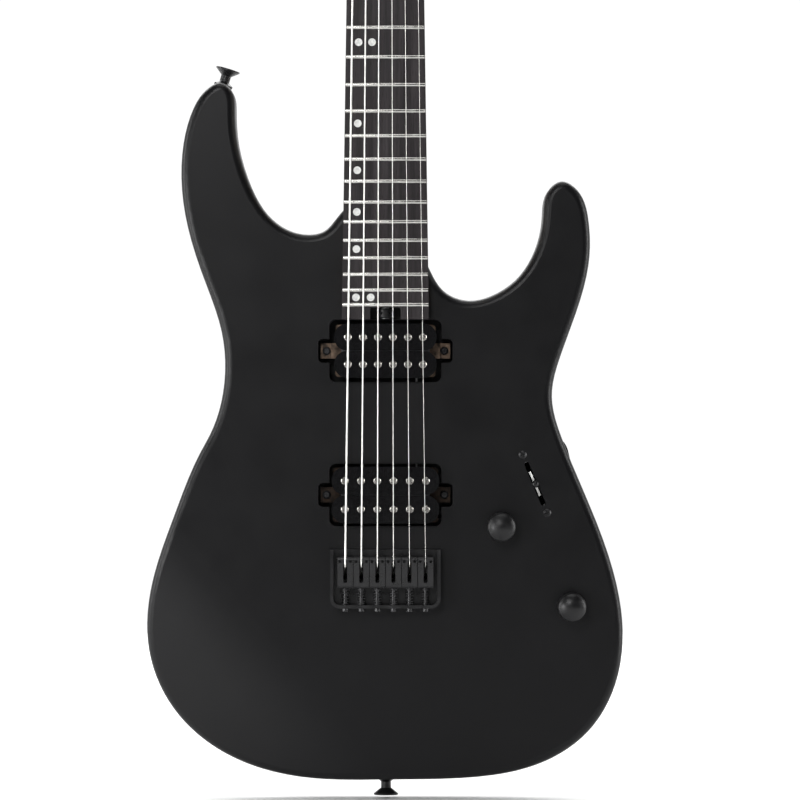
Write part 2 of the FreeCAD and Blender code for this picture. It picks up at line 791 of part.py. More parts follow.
def ring_segment(inner, outer, low, high, width):
    """Part of a ring about the crown's axis, width across, between two heights."""
    half_angle = math.degrees(math.asin(width / 2 / outer))
    corners = [Vector(r, 0, z) for r, z in ((inner, low), (outer, low), (outer, high), (inner, high))]
    face = Part.Face(Part.makePolygon(corners + corners[:1]))
    face.rotate(Vector(), Z_AXIS, -90 - half_angle)
    face.translate(crown_axis)
    return face.revolve(crown_axis, Z_AXIS, 2 * half_angle)


def fret_length(number):
    """Length of a fret across the board."""
    return board_width(fret_distance(number)).value - 2 * FRET_INSET


def fret_tang(number, rise):
    """The thin foot of a fret in its slot, up to a rise over the face of the board."""
    radius, half = d.board_radius.value, d.fret_tang_width.value / 2
    level = -fret_distance(number).value
    return ring_segment(
        radius - d.fret_tang_depth.value, radius + rise, level - half, level + half, fret_length(number)
    )


def fret_shape(number):
    """A fret: a rounded crown on the board's radius over its foot."""
    radius, half = d.board_radius.value, d.fret_width.value / 2
    half_angle = math.degrees(math.asin(fret_length(number) / 2 / radius))
    start, end = Vector(radius, 0, -half), Vector(radius, 0, half)
    crown = Part.Arc(start, Vector(radius + d.fret_height.value, 0, 0), end).toShape()
    face = Part.Face(Part.Wire([crown, Part.LineSegment(end, start).toShape()]))
    face.rotate(Vector(), Z_AXIS, -90 - half_angle)
    face.translate(crown_axis - Z_AXIS * fret_distance(number).value)
    crown_bar = face.revolve(crown_axis, Z_AXIS, 2 * half_angle)
    return crown_bar.fuse(fret_tang(number, 0)).removeSplitter()


group("frets", [fret_shape(number) for number in FRETS])
fret_slots = compound("fret_slots", [fret_tang(number, 1.0) for number in FRETS])

dot = turned("dot_master", [
    (0, 0), (d.dot_diameter / 2, 0), (d.dot_diameter / 2, d.dot_depth), (0, d.dot_depth),
])
side_dot = turned("side_dot_master", [
    (0, 0), (SIDE_DOT_RADIUS, 0), (SIDE_DOT_RADIUS, SIDE_DOT_DEPTH), (0, SIDE_DOT_DEPTH),
])


def crown_frame(across, distance):
    """A place just proud of the crowned face of the board, with Z running into the wood."""
    place = Vector(across, (board_top + crown_drop(across)).value, -distance)
    inwards = Vector(-across, crown_axis.y - place.y, 0).normalize()
    return facing(place - inwards * DOT_PROUD, inwards)


taper_angle = math.atan2((d.board_end_width - d.nut_width).value / 2, d.board_length.value)
side_inwards = Vector(math.cos(taper_angle), 0, math.sin(taper_angle))
doc.recompute()
dot_shapes = []
for number in SINGLE_DOTS + DOUBLE_DOTS:
    # Front markers lie between the two bass pairs of strings, side markers on the bass edge.
    distance = (fret_distance(number - 1) + fret_distance(number)).value / 2
    outer = string_across(0, distance).value
    for offset in (0.8, 0.4) if number in DOUBLE_DOTS else (0.8,):
        dot_shapes.append(placed(dot, crown_frame(outer * offset, distance)))
    for step in (-4.0, 4.0) if number in DOUBLE_DOTS else (0.0,):
        place = Vector(-board_width(distance).value / 2, (BOARD_BACK - 2.6).value, step - distance)
        dot_shapes.append(placed(side_dot, facing(place, side_inwards)))
dots = group("position_dots", dot_shapes)
fitted("fingerboard", board_blank, [fret_slots, dots])

STRING_RADII = (0.584, 0.457, 0.33, 0.216, 0.165, 0.127)
NUT_RISE = 0.45
nut_blank = new_body("nut_blank")
nut_face = sketch_on(nut_blank, "nut_outline", "XZ_Plane", BOARD_BACK)
draw_polygon(nut_face, rectangle(0, d.nut_thickness / 2, board_width(0), d.nut_thickness))
pad(nut_blank, nut_face, d.nut_string_height + BOARD_BACK + NUT_RISE)
for index in STRINGS:
    across = string_across(index, 0)
    width = 2 * STRING_RADII[index] + 0.3
    slot = sketch_on(nut_blank, f"string_slot_{index + 1}", "XZ_Plane", -(d.nut_string_height + 2))
    draw_polygon(slot, rectangle(across, d.nut_thickness / 2, width, d.nut_thickness + 2))
    pocket(nut_blank, slot, 2 + STRING_RADII[index] + 0.15)
keep("nut", nut_blank)

# ---------------------------------------------------------------------------------------------------
# Tuners: each is built about its post's axis and placed on the headstock
# ---------------------------------------------------------------------------------------------------
WRAP_GAP = d.clearance.value
WORM_OFFSET, WORM_RADIUS, GEAR_RADIUS = 6.85, 2.0, 4.5
WORM_HEIGHT = 2.8
POST_RISE = 11.0
POST_STAGGER = 0.8
HOUSING_DEPTH = 10.5
BUTTON_START, BUTTON_END = 18.5, 31.0
TUNER_SCREW_PLACE = 9.8


def post_place(index):
    """Where a post stands, so that its string runs straight from the nut to the post's treble side."""
    height = d.first_post_height.value + d.tuner_pitch.value * index
    across = string_across(index, -height).value
    return Vector(across - d.post_radius.value - WRAP_GAP - STRING_RADII[index], 0, height)


first_post, last_post = post_place(0), post_place(5)
tuner_tilt = math.degrees(math.atan2(last_post.x - first_post.x, last_post.z - first_post.z))
tuner_turn = FreeCAD.Rotation(Y_AXIS, tuner_tilt)
tuner_frames = [FreeCAD.Placement(post_place(index), tuner_turn) for index in STRINGS]
worm_level = HEAD_BACK + WORM_HEIGHT

housing = new_body("housing_master")
shell = sketch_on(housing, "housing_outline", "XZ_Plane", HEAD_BACK)
draw_rounded(shell, [(-12, -10.6), (7.5, -10.6), (7.5, 7.0), (-12, 7.0)], 2.0)
pad(housing, shell, HOUSING_DEPTH, reverse=True)
tab = sketch_on(housing, "housing_tab", "XZ_Plane", HEAD_BACK)
draw_rounded(tab, [(-3.0, 4.0), (3.0, 4.0), (3.0, 12.4), (-3.0, 12.4)], 2.4)
pad(housing, tab, 2.0, reverse=True)
worm_axis = Vector(0, worm_level.value, -WORM_OFFSET)
drill(housing, "gear_room", Vector(0, HEAD_BACK.value, 0), Y_AXIS, GEAR_RADIUS + WRAP_GAP, WORM_HEIGHT + 2.2)
drill(housing, "worm_room", worm_axis - X_AXIS * 9.5, X_AXIS, WORM_RADIUS + WRAP_GAP, 15.0)
drill(housing, "worm_bearing", worm_axis - X_AXIS * 13, X_AXIS, WORM_RADIUS + d.running_clearance, 5.0)
drill(housing, "screw_hole", Vector(0, HEAD_BACK.value - 1, TUNER_SCREW_PLACE), Y_AXIS, 1.3, 5.0)
copies("tuner_housings", housing, tuner_frames)

bushing = turned("bushing_master", [
    (d.post_radius + d.running_clearance, -2.4), (6.2, -2.4), (7.0, -1.6), (7.0, 0), (d.bushing_radius, 0),
    (d.bushing_radius, d.head_thickness), (d.post_radius + d.running_clearance, d.head_thickness),
], facing(Vector(0, HEAD_FACE.value, 0), Y_AXIS))
copies("tuner_bushings", bushing, tuner_frames)

tuner_screw = pan_screw("tuner_screw_master", 2.2, 1.5, 1.3, 11.0)
tuner_screw.Placement = facing(Vector(0, HEAD_BACK.value + 2.0, TUNER_SCREW_PLACE), -Y_AXIS)
copies("tuner_screws", tuner_screw, tuner_frames)
tuner_screw_seats = seats("tuner_screws", tuner_screw, tuner_frames)


def wrap_level(index):
    """Height of the string's wrap on its post; the posts are staggered, so no string tree is needed."""
    return HEAD_FACE.value - 6.2 + POST_STAGGER * index * 0.5


for index in STRINGS:
    top = POST_RISE - POST_STAGGER * index * 0.5
    base = d.head_thickness + WORM_HEIGHT + 1.6
    post = turned(f"tuner_post_{index + 1}", [
        (0, -top), (d.post_radius - 0.6, -top), (d.post_radius, 0.6 - top), (d.post_radius, base - 3.4),
        (GEAR_RADIUS, base - 3.4), (GEAR_RADIUS, base), (0, base),
    ], facing(Vector(0, HEAD_FACE.value, 0), Y_AXIS))
    hole_level = wrap_level(index) - HEAD_FACE.value - 1.6
    drill(post, f"string_hole_{index + 1}", Vector(-5, 0, hole_level), X_AXIS, 0.8, 10.0)
    post.Placement = tuner_frames[index].multiply(post.Placement)
    keep(f"tuner_post_{index + 1}", post)

    shaft_place = Vector(4.5, worm_level.value, -WORM_OFFSET)
    worm = turned(f"worm_shaft_{index + 1}", [
        (0, 0), (WORM_RADIUS, 0), (WORM_RADIUS, BUTTON_END + 3.4), (0, BUTTON_END + 3.4),
    ])
    blank = turned(f"button_turned_{index + 1}", [
        (WORM_RADIUS, BUTTON_START), (3.4, BUTTON_START), (4.2, BUTTON_START + 1.5),
        (8.4, BUTTON_START + 5.0), (8.6, BUTTON_END - 3.0), (7.6, BUTTON_END - 0.6), (6.4, BUTTON_END),
        (WORM_RADIUS, BUTTON_END),
    ], shifted(Vector(0, 0, 4.5)))
    slab = doc.addObject("Part::Box", f"button_slab_{index + 1}")
    slab.Length, slab.Width, slab.Height = 20.0, 9.4, 40.0
    slab.Placement.Base = Vector(-10, -4.7, 0)
    button = doc.addObject("Part::Common", f"button_{index + 1}")
    button.Base, button.Tool = blank, slab
    doc.recompute()
    shaft_frame = tuner_frames[index].multiply(facing(shaft_place, -X_AXIS))
    group(f"tuner_button_{index + 1}", [placed(worm, shaft_frame), placed(button, shaft_frame)])

# ---------------------------------------------------------------------------------------------------
# Pickups: two open-coil humbuckers screwed straight into their cavities
# ---------------------------------------------------------------------------------------------------
# centre below the nut, bobbin length, bobbin width, spread of the pole screws
PICKUPS = {
    "neck": (d.neck_pickup_centre, d.neck_bobbin_length, d.neck_bobbin_width, d.neck_pole_spread),
    "bridge": (d.bridge_pickup_centre, d.bridge_bobbin_length, d.bridge_bobbin_width, d.bridge_pole_spread),
}
FLANGE, CORE_WIDTH, CORE_SHRINK, COIL_INSET = 2.0, 5.6, 14.0, 0.9
MAGNET_WIDTH, MAGNET_LENGTH = 11.0, 58.0
LEG_REACH, LEG_WIDTH, LEG_SCREW = 42.5, 10.0, 38.6
POLE_HEAD_RADIUS, POLE_HEAD_HEIGHT, POLE_RADIUS, POLE_PROUD = 2.4, 1.7, 1.25, 0.6
# rim round the shallow dish of a pole head, depth of the dish, and half the width of its hexagon socket
POLE_RIM, POLE_DISH, POLE_SOCKET = 1.9, 0.35, 0.95
bobbin_top = -d.pickup_top
bobbin_bottom = bobbin_top + d.bobbin_height
plate_front = bobbin_bottom + d.magnet_thickness
plate_back = plate_front + d.baseplate_thickness
leg_front = plate_front + d.pickup_leg_drop


def stadium(body, name, level, height, length, width, corner):
    """Pad a rounded rectangle about the body's origin, from a level towards the back."""
    sketch = sketch_on(body, name, "XZ_Plane", level)
    draw_rounded(sketch, rectangle(0, 0, length, width), corner)
    return pad(body, sketch, height, reverse=True)


def pole_places(width, spread):
    """Pole screw axes of one pickup, both coils."""
    return [
        Vector(spread.value * (index / 5 - 0.5), 0, row * (width.value + 0.2) / 2)
        for row in (1, -1)
        for index in STRINGS
    ]


def hexagon(radius):
    """Corners of a hexagonal key's recess."""
    turns = [math.radians(turn) for turn in range(0, 360, 60)]
    return [(radius * math.cos(turn), radius * math.sin(turn)) for turn in turns]


pole = turned("pole_master", [
    (0, POLE_DISH - POLE_PROUD), (POLE_RIM - 0.3, POLE_DISH - POLE_PROUD), (POLE_RIM, -POLE_PROUD),
    (POLE_HEAD_RADIUS - 0.3, -POLE_PROUD), (POLE_HEAD_RADIUS, 0.3 - POLE_PROUD),
    (POLE_HEAD_RADIUS, POLE_HEAD_HEIGHT - POLE_PROUD), (POLE_RADIUS, POLE_HEAD_HEIGHT - POLE_PROUD),
    (POLE_RADIUS, 16.0), (0, 16.0),
], facing(Vector(0, bobbin_top.value, 0), Y_AXIS))
pole_socket = sketch_on(pole, "pole_socket", "XY_Plane", -POLE_PROUD)
draw_polygon(pole_socket, hexagon(POLE_SOCKET))
pocket(pole, pole_socket, POLE_DISH + 1.2, reverse=True)
leg_screw = pan_screw("leg_screw_master", 2.7, 1.7, 1.4, 21.0)
leg_screw.Placement = facing(Vector(0, leg_front.value, 0), Y_AXIS)

baseplates, bobbins, coils, magnets, poles, leg_screws = [], [], [], [], [], []
for name, (centre, length, width, spread) in PICKUPS.items():
    frame = shifted(Vector(0, 0, -centre.value))
    shift = (width.value + 0.2) / 2

    plate = new_body(f"{name}_baseplate")
    stadium(plate, f"{name}_plate", plate_front, d.baseplate_thickness, length - 1.5, width * 2 - 1, 2.0)
    legs = sketch_on(plate, f"{name}_legs", "XY_Plane", -LEG_WIDTH / 2)
    riser = 35.6
    thick = d.baseplate_thickness
    draw_polygon(legs, [
        (-LEG_REACH, leg_front), (-riser, leg_front), (-riser, plate_front), (riser, plate_front),
        (riser, leg_front), (LEG_REACH, leg_front), (LEG_REACH, leg_front + thick),
        (riser - thick, leg_front + thick), (riser - thick, plate_back), (-riser + thick, plate_back),
        (-riser + thick, leg_front + thick), (-LEG_REACH, leg_front + thick),
    ])
    pad(plate, legs, LEG_WIDTH)

    bobbin = new_body(f"{name}_bobbin")
    corner = width / 2 - 0.3
    stadium(bobbin, f"{name}_top_flange", bobbin_top, FLANGE, length, width, corner)
    stadium(bobbin, f"{name}_core", bobbin_top + FLANGE, d.bobbin_height - 2 * FLANGE,
            length - CORE_SHRINK, CORE_WIDTH, 2.6)
    stadium(bobbin, f"{name}_low_flange", bobbin_bottom - FLANGE, FLANGE, length, width, corner)
    coil = new_body(f"{name}_coil")
    stadium(coil, f"{name}_winding", bobbin_top + FLANGE, d.bobbin_height - 2 * FLANGE,
            length - 2 * COIL_INSET, width - 2 * COIL_INSET, corner - COIL_INSET)
    core = sketch_on(coil, f"{name}_winding_core", "XZ_Plane", bobbin_top + FLANGE - 1)
    draw_rounded(core, rectangle(0, 0, length - CORE_SHRINK, CORE_WIDTH), 2.6)
    pocket(coil, core, d.bobbin_height)
    magnet = doc.addObject("Part::Box", f"{name}_magnet")
    bind(magnet, Length=MAGNET_LENGTH, Width=d.magnet_thickness, Height=MAGNET_WIDTH)
    doc.recompute()

    pole_frames = [
        frame.multiply(shifted(place)) for place in pole_places(width, spread)
    ]
    screw_frames = [
        frame.multiply(shifted(X_AXIS * LEG_SCREW * side)) for side in (-1, 1)
    ]
    pole_seats = seats(f"{name}_poles", pole, pole_frames).Shape.Solids
    screw_seats = seats(f"{name}_leg_screws", leg_screw, screw_frames).Shape.Solids
    baseplates.append(placed(plate, frame).cut(pole_seats + screw_seats))
    for row in (shift, -shift):
        row_frame = frame.multiply(shifted(Z_AXIS * row))
        bobbins.append(placed(bobbin, row_frame).cut(pole_seats))
        coils.append(placed(coil, row_frame))
    corner_place = Vector(-MAGNET_LENGTH / 2, bobbin_bottom.value, -MAGNET_WIDTH / 2)
    magnets.append(placed(magnet, frame.multiply(shifted(corner_place))))
    poles += [placed(pole, pole_frame) for pole_frame in pole_frames]
    leg_screws += [placed(leg_screw, screw_frame) for screw_frame in screw_frames]

group("pickup_baseplates", baseplates)
group("pickup_bobbins", bobbins)
group("pickup_coils", coils)
group("pickup_magnets", magnets)
group("pickup_pole_screws", poles)
group("pickup_mount_screws", leg_screws)

# ---------------------------------------------------------------------------------------------------
# Bridge: a three-walled plate with six saddles on intonation screws
# ---------------------------------------------------------------------------------------------------
PLATE_CORNER = 6.5
STRING_DROP = 6.0
THROUGH = 13.2
CREST, HEIGHT_SCREW_OFFSET, HEIGHT_SCREW_PLACE, HEIGHT_SCREW_RADIUS = 2.2, 3.4, 3.0, 1.0
SLOT_FRONT, SLOT_REAR = 2.8, 17.2
BLOCK_DEPTH = 10.1
SCREW_TIP = 16.0
SPRING_INNER, SPRING_OUTER = 1.6, 2.3
HEX_KEY_RADIUS = 0.55
HEAD_RADIUS, HEAD_LENGTH = 1.95, 2.2
BRIDGE_SCREWS = ((-21.0, 28.3), (0.0, 28.3), (21.0, 28.3), (-15.75, 5.0), (15.75, 5.0))
screw_radius = d.intonation_screw_radius
screw_drop = d.saddle_string_height - d.intonation_height
bridge_rear = d.bridge_front + d.bridge_length
rear_wall = bridge_rear - d.bridge_wall
plate_top = -d.bridge_plate_thickness
string_hole_place = d.saddle_front + THROUGH


def bridge_across(index):
    return string_across(index, d.saddle_front)


def bridge_string_level(index):
    """Signed height of a string's centre at its saddle, lower for the outer strings."""
    return -d.saddle_string_height + crown_drop(bridge_across(index))


def draw_three_walls(sketch, half_width, front, rear, corner):
    """A rectangle whose two rear corners are round."""
    bow = corner * (1 - math.sqrt(0.5))
    draw_polygon(sketch, [
        (-half_width, -front), (half_width, -front),
        (half_width, -(rear - corner), (half_width - bow, -(rear - bow))), (half_width - corner, -rear),
        (corner - half_width, -rear, (bow - half_width, -(rear - bow))), (-half_width, -(rear - corner)),
    ])


plate_blank = new_body("plate_blank")
tray = sketch_on(plate_blank, "tray_outline", "XZ_Plane")
draw_three_walls(tray, d.bridge_width / 2, d.bridge_front, bridge_rear, as_size(PLATE_CORNER))
pad(plate_blank, tray, d.bridge_wall_height)
well = sketch_on(plate_blank, "tray_well", "XZ_Plane", -(d.bridge_wall_height + 1))
draw_three_walls(
    well, d.bridge_width / 2 - d.bridge_wall, d.bridge_front - 2, rear_wall, PLATE_CORNER - d.bridge_wall
)
pocket(plate_blank, well, d.bridge_wall_height + 1 - d.bridge_plate_thickness)
for index in STRINGS:
    across, level = bridge_across(index).value, bridge_string_level(index).value
    hole_place = Vector(across, -4, -string_hole_place.value)
    drill(plate_blank, f"plate_string_hole_{index + 1}", hole_place, Y_AXIS, 2.2, 6.0)
    place = Vector(across, level + screw_drop.value, -(bridge_rear.value + 1))
    bearing_radius = screw_radius + d.running_clearance
    drill(plate_blank, f"intonation_bearing_{index + 1}", place, Z_AXIS, bearing_radius, 6.0)
bridge_screw = countersunk_screw("bridge_screw_master", 3.4, 1.8, 26.0)
bridge_screw.Placement = facing(Vector(0, plate_top.value, 0), Y_AXIS)
bridge_screw_frames = [
    shifted(Vector(across, 0, -(d.bridge_front.value + along)))
    for across, along in BRIDGE_SCREWS
]
copies("bridge_screws", bridge_screw, bridge_screw_frames)
bridge_screw_seats = seats("bridge_screws", bridge_screw, bridge_screw_frames)
fitted("bridge_plate", plate_blank, [bridge_screw_seats])

springs = []
for index in STRINGS:
    across, level = bridge_across(index), bridge_string_level(index)
    place = shifted(Vector(across.value, level.value, -d.saddle_front.value))
    block = new_body(f"saddle_block_{index + 1}")
    side_view = sketch_on(block, f"saddle_profile_{index + 1}", "YZ_Plane", -d.saddle_width / 2)
    draw_polygon(side_view, [
        (BLOCK_DEPTH, 0), (1.6, 0, (0.2, -0.7)), (-0.3, -CREST), (0.2, -4.0), (3.6, -d.saddle_length + 1.2),
        (4.6, -d.saddle_length), (BLOCK_DEPTH, -d.saddle_length),
    ])
    pad(block, side_view, d.saddle_width)
    slot = sketch_on(block, f"saddle_slot_{index + 1}", "XZ_Plane", -2)
    slot_middle = -(SLOT_FRONT + SLOT_REAR) / 2
    draw_rounded(slot, rectangle(0, slot_middle, d.saddle_slot_width, SLOT_REAR - SLOT_FRONT), 1.2)
    pocket(block, slot, BLOCK_DEPTH + 4)
    groove_width = 2 * STRING_RADII[index] + 0.8
    groove = sketch_on(block, f"saddle_groove_{index + 1}", "XZ_Plane", -2)
    draw_polygon(groove, rectangle(0, -SLOT_FRONT / 2 - 0.2, groove_width, SLOT_FRONT + 2))
    pocket(block, groove, 2 + STRING_RADII[index] + d.clearance)
    bore_place = Vector(0, screw_drop.value, -(d.saddle_length.value + 1))
    drill(block, f"saddle_bore_{index + 1}", bore_place, Z_AXIS, screw_radius + d.running_clearance, 6.0)
    screw_top = 1.9
    screw_length = -level - d.bridge_plate_thickness - d.running_clearance - screw_top
    height_screw = turned(f"height_screw_{index + 1}", [
        (0, 0), (HEIGHT_SCREW_RADIUS, 0), (HEIGHT_SCREW_RADIUS, screw_length - 0.6),
        (HEIGHT_SCREW_RADIUS * 0.6, screw_length), (0, screw_length),
    ])
    socket = sketch_on(height_screw, f"height_socket_{index + 1}", "XY_Plane")
    draw_rounded(socket, hexagon(HEX_KEY_RADIUS), 0.05)
    pocket(height_screw, socket, 1.2, reverse=True)
    for side in (-1, 1):
        hole_place = Vector(side * HEIGHT_SCREW_OFFSET, -2, -HEIGHT_SCREW_PLACE)
        drill(block, f"height_hole_{index + 1}_{side + 2}", hole_place, Y_AXIS, HEIGHT_SCREW_RADIUS, 16.0)
    doc.recompute()
    shapes = [placed(block, place)]
    for side in (-1, 1):
        foot = Vector(side * HEIGHT_SCREW_OFFSET, screw_top, -HEIGHT_SCREW_PLACE)
        shapes.append(placed(height_screw, place.multiply(facing(foot, Y_AXIS))))
    group(f"saddle_{index + 1}", shapes)

    axis_end = -(bridge_rear + d.running_clearance)
    axis_place = Vector(across.value, (level + screw_drop).value, axis_end.value)
    shank_length = bridge_rear + d.running_clearance - (d.saddle_front + SCREW_TIP)
    screw = turned(f"intonation_screw_{index + 1}", [
        (0, -HEAD_LENGTH), (HEAD_RADIUS - 0.4, -HEAD_LENGTH), (HEAD_RADIUS, 0.4 - HEAD_LENGTH),
        (HEAD_RADIUS, 0), (screw_radius, 0), (screw_radius, shank_length - 0.5),
        (screw_radius - 0.5, shank_length), (0, shank_length),
    ], facing(axis_place, Z_AXIS))
    key = sketch_on(screw, f"intonation_cross_{index + 1}", "XY_Plane", -HEAD_LENGTH)
    draw_cross(key, HEAD_RADIUS)
    pocket(screw, key, 1.0, reverse=True)
    keep(f"intonation_screw_{index + 1}", screw)

    spring_start = -(rear_wall.value - 0.05)
    spring_length = rear_wall.value - d.saddle_front.value - d.saddle_length.value - 0.1
    foot = Vector(across.value, axis_place.y, spring_start)
    outer = Part.makeCylinder(SPRING_OUTER, spring_length, foot, Z_AXIS)
    springs.append(outer.cut(Part.makeCylinder(SPRING_INNER, spring_length, foot, Z_AXIS)))
group("saddle_springs", springs)

# ---------------------------------------------------------------------------------------------------
# Strings, from their wraps on the posts over nut and saddles to the ball ends in the rear ferrules
# ---------------------------------------------------------------------------------------------------
BALL_RADIUS, BALL_LENGTH = 1.9, 3.6
FERRULE_RADIUS, FERRULE_FLANGE, FERRULE_DEPTH = 4.2, 5.0, 9.0
BALL_SEAT = BACK.value - FERRULE_DEPTH + 1.6


def string_shape(index):
    """One string: wrap, run to the nut, run to the saddle, drop through the body and ball end."""
    radius = STRING_RADII[index]
    post = post_place(index)
    wrap = d.post_radius.value + WRAP_GAP + radius
    level = wrap_level(index)
    across, rest = bridge_across(index).value, bridge_string_level(index).value
    nut_across = string_across(index, -d.nut_thickness.value / 2).value
    break_place = -(d.saddle_front.value + STRING_DROP)
    hole_place = -string_hole_place.value
    points = [
        Vector(post.x, level, post.z - wrap),
        Vector(post.x - wrap, level, post.z - wrap),
        Vector(post.x - wrap, level, post.z + wrap),
        Vector(post.x + wrap, level, post.z + wrap),
        Vector(post.x + wrap, level, post.z - 4.0),
        Vector(nut_across, -d.nut_string_height.value, d.nut_thickness.value / 2),
        Vector(across, rest, break_place),
        Vector(across, 0.0, hole_place),
        Vector(across, BALL_SEAT, hole_place),
    ]
    bends = [wrap, wrap, wrap, 20.0, 25.0, 3.0, 3.0]
    rod = tube(points, bends, radius)
    ball = Part.makeCylinder(BALL_RADIUS, BALL_LENGTH, Vector(across, BALL_SEAT, hole_place), Y_AXIS)
    return rod.fuse(ball)


strings = group("strings", [string_shape(index) for index in STRINGS])
ferrule = turned("ferrule_master", [
    (1.5, 0), (FERRULE_RADIUS, 0), (FERRULE_RADIUS, FERRULE_DEPTH - 1.2),
    (FERRULE_FLANGE, FERRULE_DEPTH - 1.2), (FERRULE_FLANGE, FERRULE_DEPTH),
    (2.4, FERRULE_DEPTH), (2.4, 1.5), (1.5, 1.5),
], facing(Vector(0, BACK.value - FERRULE_DEPTH, 0), Y_AXIS))
ferrules = copies("string_ferrules", ferrule, [
    shifted(Vector(bridge_across(index).value, 0, -string_hole_place.value))
    for index in STRINGS
])

# ---------------------------------------------------------------------------------------------------
# Controls: two potentiometers with knobs and a five-position blade switch
# ---------------------------------------------------------------------------------------------------
KNOBS = {"volume_knob": Vector(76.0, 0, -631.2), "tone_knob": Vector(122.0, 0, -683.5)}
CAN_RADIUS, CAN_DEPTH, THREAD_RADIUS, THREAD_RISE = 12.0, 9.5, 4.7, 3.5
POT_NUT_RADIUS, POT_NUT_HEIGHT = 6.6, 2.0
KNOB_GAP, KNOB_DOME = 0.6, 3.2
pot_bore = d.pot_shaft_radius + d.running_clearance
pot = turned("pot_master", [
    (pot_bore, -THREAD_RISE), (THREAD_RADIUS, -THREAD_RISE), (THREAD_RADIUS, d.control_top),
    (CAN_RADIUS, d.control_top), (CAN_RADIUS, d.control_top + CAN_DEPTH), (0, d.control_top + CAN_DEPTH),
    (0, d.control_top + CAN_DEPTH - 2), (pot_bore, d.control_top + CAN_DEPTH - 2),
], facing(Vector(), Y_AXIS))
pot_nut = turned("pot_nut_master", [
    (THREAD_RADIUS, -POT_NUT_HEIGHT), (POT_NUT_RADIUS, -POT_NUT_HEIGHT),
    (POT_NUT_RADIUS, 0), (THREAD_RADIUS, 0),
], facing(Vector(), Y_AXIS))
group("control_pots", [
    placed(item, shifted(place))
    for place in KNOBS.values() for item in (pot, pot_nut)
])

def dome_middle(radius, top, height):
    """A point halfway along a ball-shaped dome that is height tall and centred on the axis."""
    ball = (radius * radius + height * height) / (2 * height)
    half_angle = math.asin(float(radius) / float(ball)) / 2
    return ball * math.sin(half_angle), top - ball * (1 - math.cos(half_angle))


knob_recess = POT_NUT_HEIGHT + 1.6
dome_radius = d.knob_radius - 0.9
dome_start = d.knob_height - KNOB_DOME
for name, place in KNOBS.items():
    skirt = new_body(name + "_skirt")
    profile = sketch_on(skirt, name + "_profile", "XZ_Plane")
    draw_polygon(profile, [
        (d.pot_shaft_radius, knob_recess), (POT_NUT_RADIUS + 0.6, knob_recess),
        (POT_NUT_RADIUS + 0.6, KNOB_GAP), (d.knob_radius - 0.4, KNOB_GAP),
        (d.knob_radius, KNOB_GAP + 0.5), (d.knob_radius - 0.4, dome_start - 0.7),
        (dome_radius, dome_start, dome_middle(dome_radius, d.knob_height, KNOB_DOME)),
        (0, d.knob_height), (0, d.knob_height - 4.0), (d.pot_shaft_radius, d.knob_height - 4.0),
    ])
    revolve(skirt, profile)
    shaft = doc.addObject("Part::Cylinder", name + "_shaft")
    bind(shaft, Radius=d.pot_shaft_radius, Height=d.knob_height - 4.0 + d.control_top + CAN_DEPTH - 2.5)
    doc.recompute()
    shaft_place = place - Y_AXIS * (d.knob_height.value - 4.0)
    group(name, [placed(skirt, facing(place, -Y_AXIS)), placed(shaft, facing(shaft_place, Y_AXIS))])

SWITCH_PLACE = Vector(97.95, 0, -602.9)
SWITCH_TILT = -22.9
LEVER_WIDTH, LEVER_THICKNESS, LEVER_TOP, LEVER_TAIL = 3.8, 1.4, 6.0, 4.0
TIP_RADIUS, TIP_LENGTH, TIP_DOME = 2.4, 8.5, 1.8
# the lever widens to a sector that shows in the slot, just under the body's face
SECTOR_RADIUS, SECTOR_ANGLES = 17.2, (-30, -15, 0, 15, 30)
CHEEK_GAP, CHEEK_THICKNESS, CHEEK_LENGTH = 3.4, 1.4, 34.0
PIVOT_PIN_RADIUS = 1.2
switch_frame = FreeCAD.Placement(SWITCH_PLACE, FreeCAD.Rotation(Y_AXIS, SWITCH_TILT))

frame_body = new_body("switch_frame_blank")
bracket = sketch_on(frame_body, "switch_bracket", "XZ_Plane", d.control_top)
draw_rounded(bracket, rectangle(0, 0, 11.0, d.switch_screw_pitch + 7), 2.0)
pad(frame_body, bracket, 1.5, reverse=True)
for side in (-1, 1):
    cheek = sketch_on(frame_body, f"switch_cheek_{side + 2}", "XZ_Plane", d.control_top)
    draw_polygon(cheek, rectangle(side * (CHEEK_GAP + CHEEK_THICKNESS) / 2, 0, CHEEK_THICKNESS, CHEEK_LENGTH))
    pad(frame_body, cheek, 20.0, reverse=True)
pivot = sketch_on(frame_body, "switch_pivot", "YZ_Plane", -(CHEEK_GAP / 2 + CHEEK_THICKNESS / 2))
draw_circle(pivot, d.switch_pivot_depth, 0, PIVOT_PIN_RADIUS)
pad(frame_body, pivot, CHEEK_GAP + CHEEK_THICKNESS)
opening = sketch_on(frame_body, "switch_opening", "XZ_Plane", d.control_top - 1)
draw_polygon(opening, rectangle(0, 0, CHEEK_GAP, CHEEK_LENGTH - 4))
pocket(frame_body, opening, 3.5)
frame_body.Placement = switch_frame

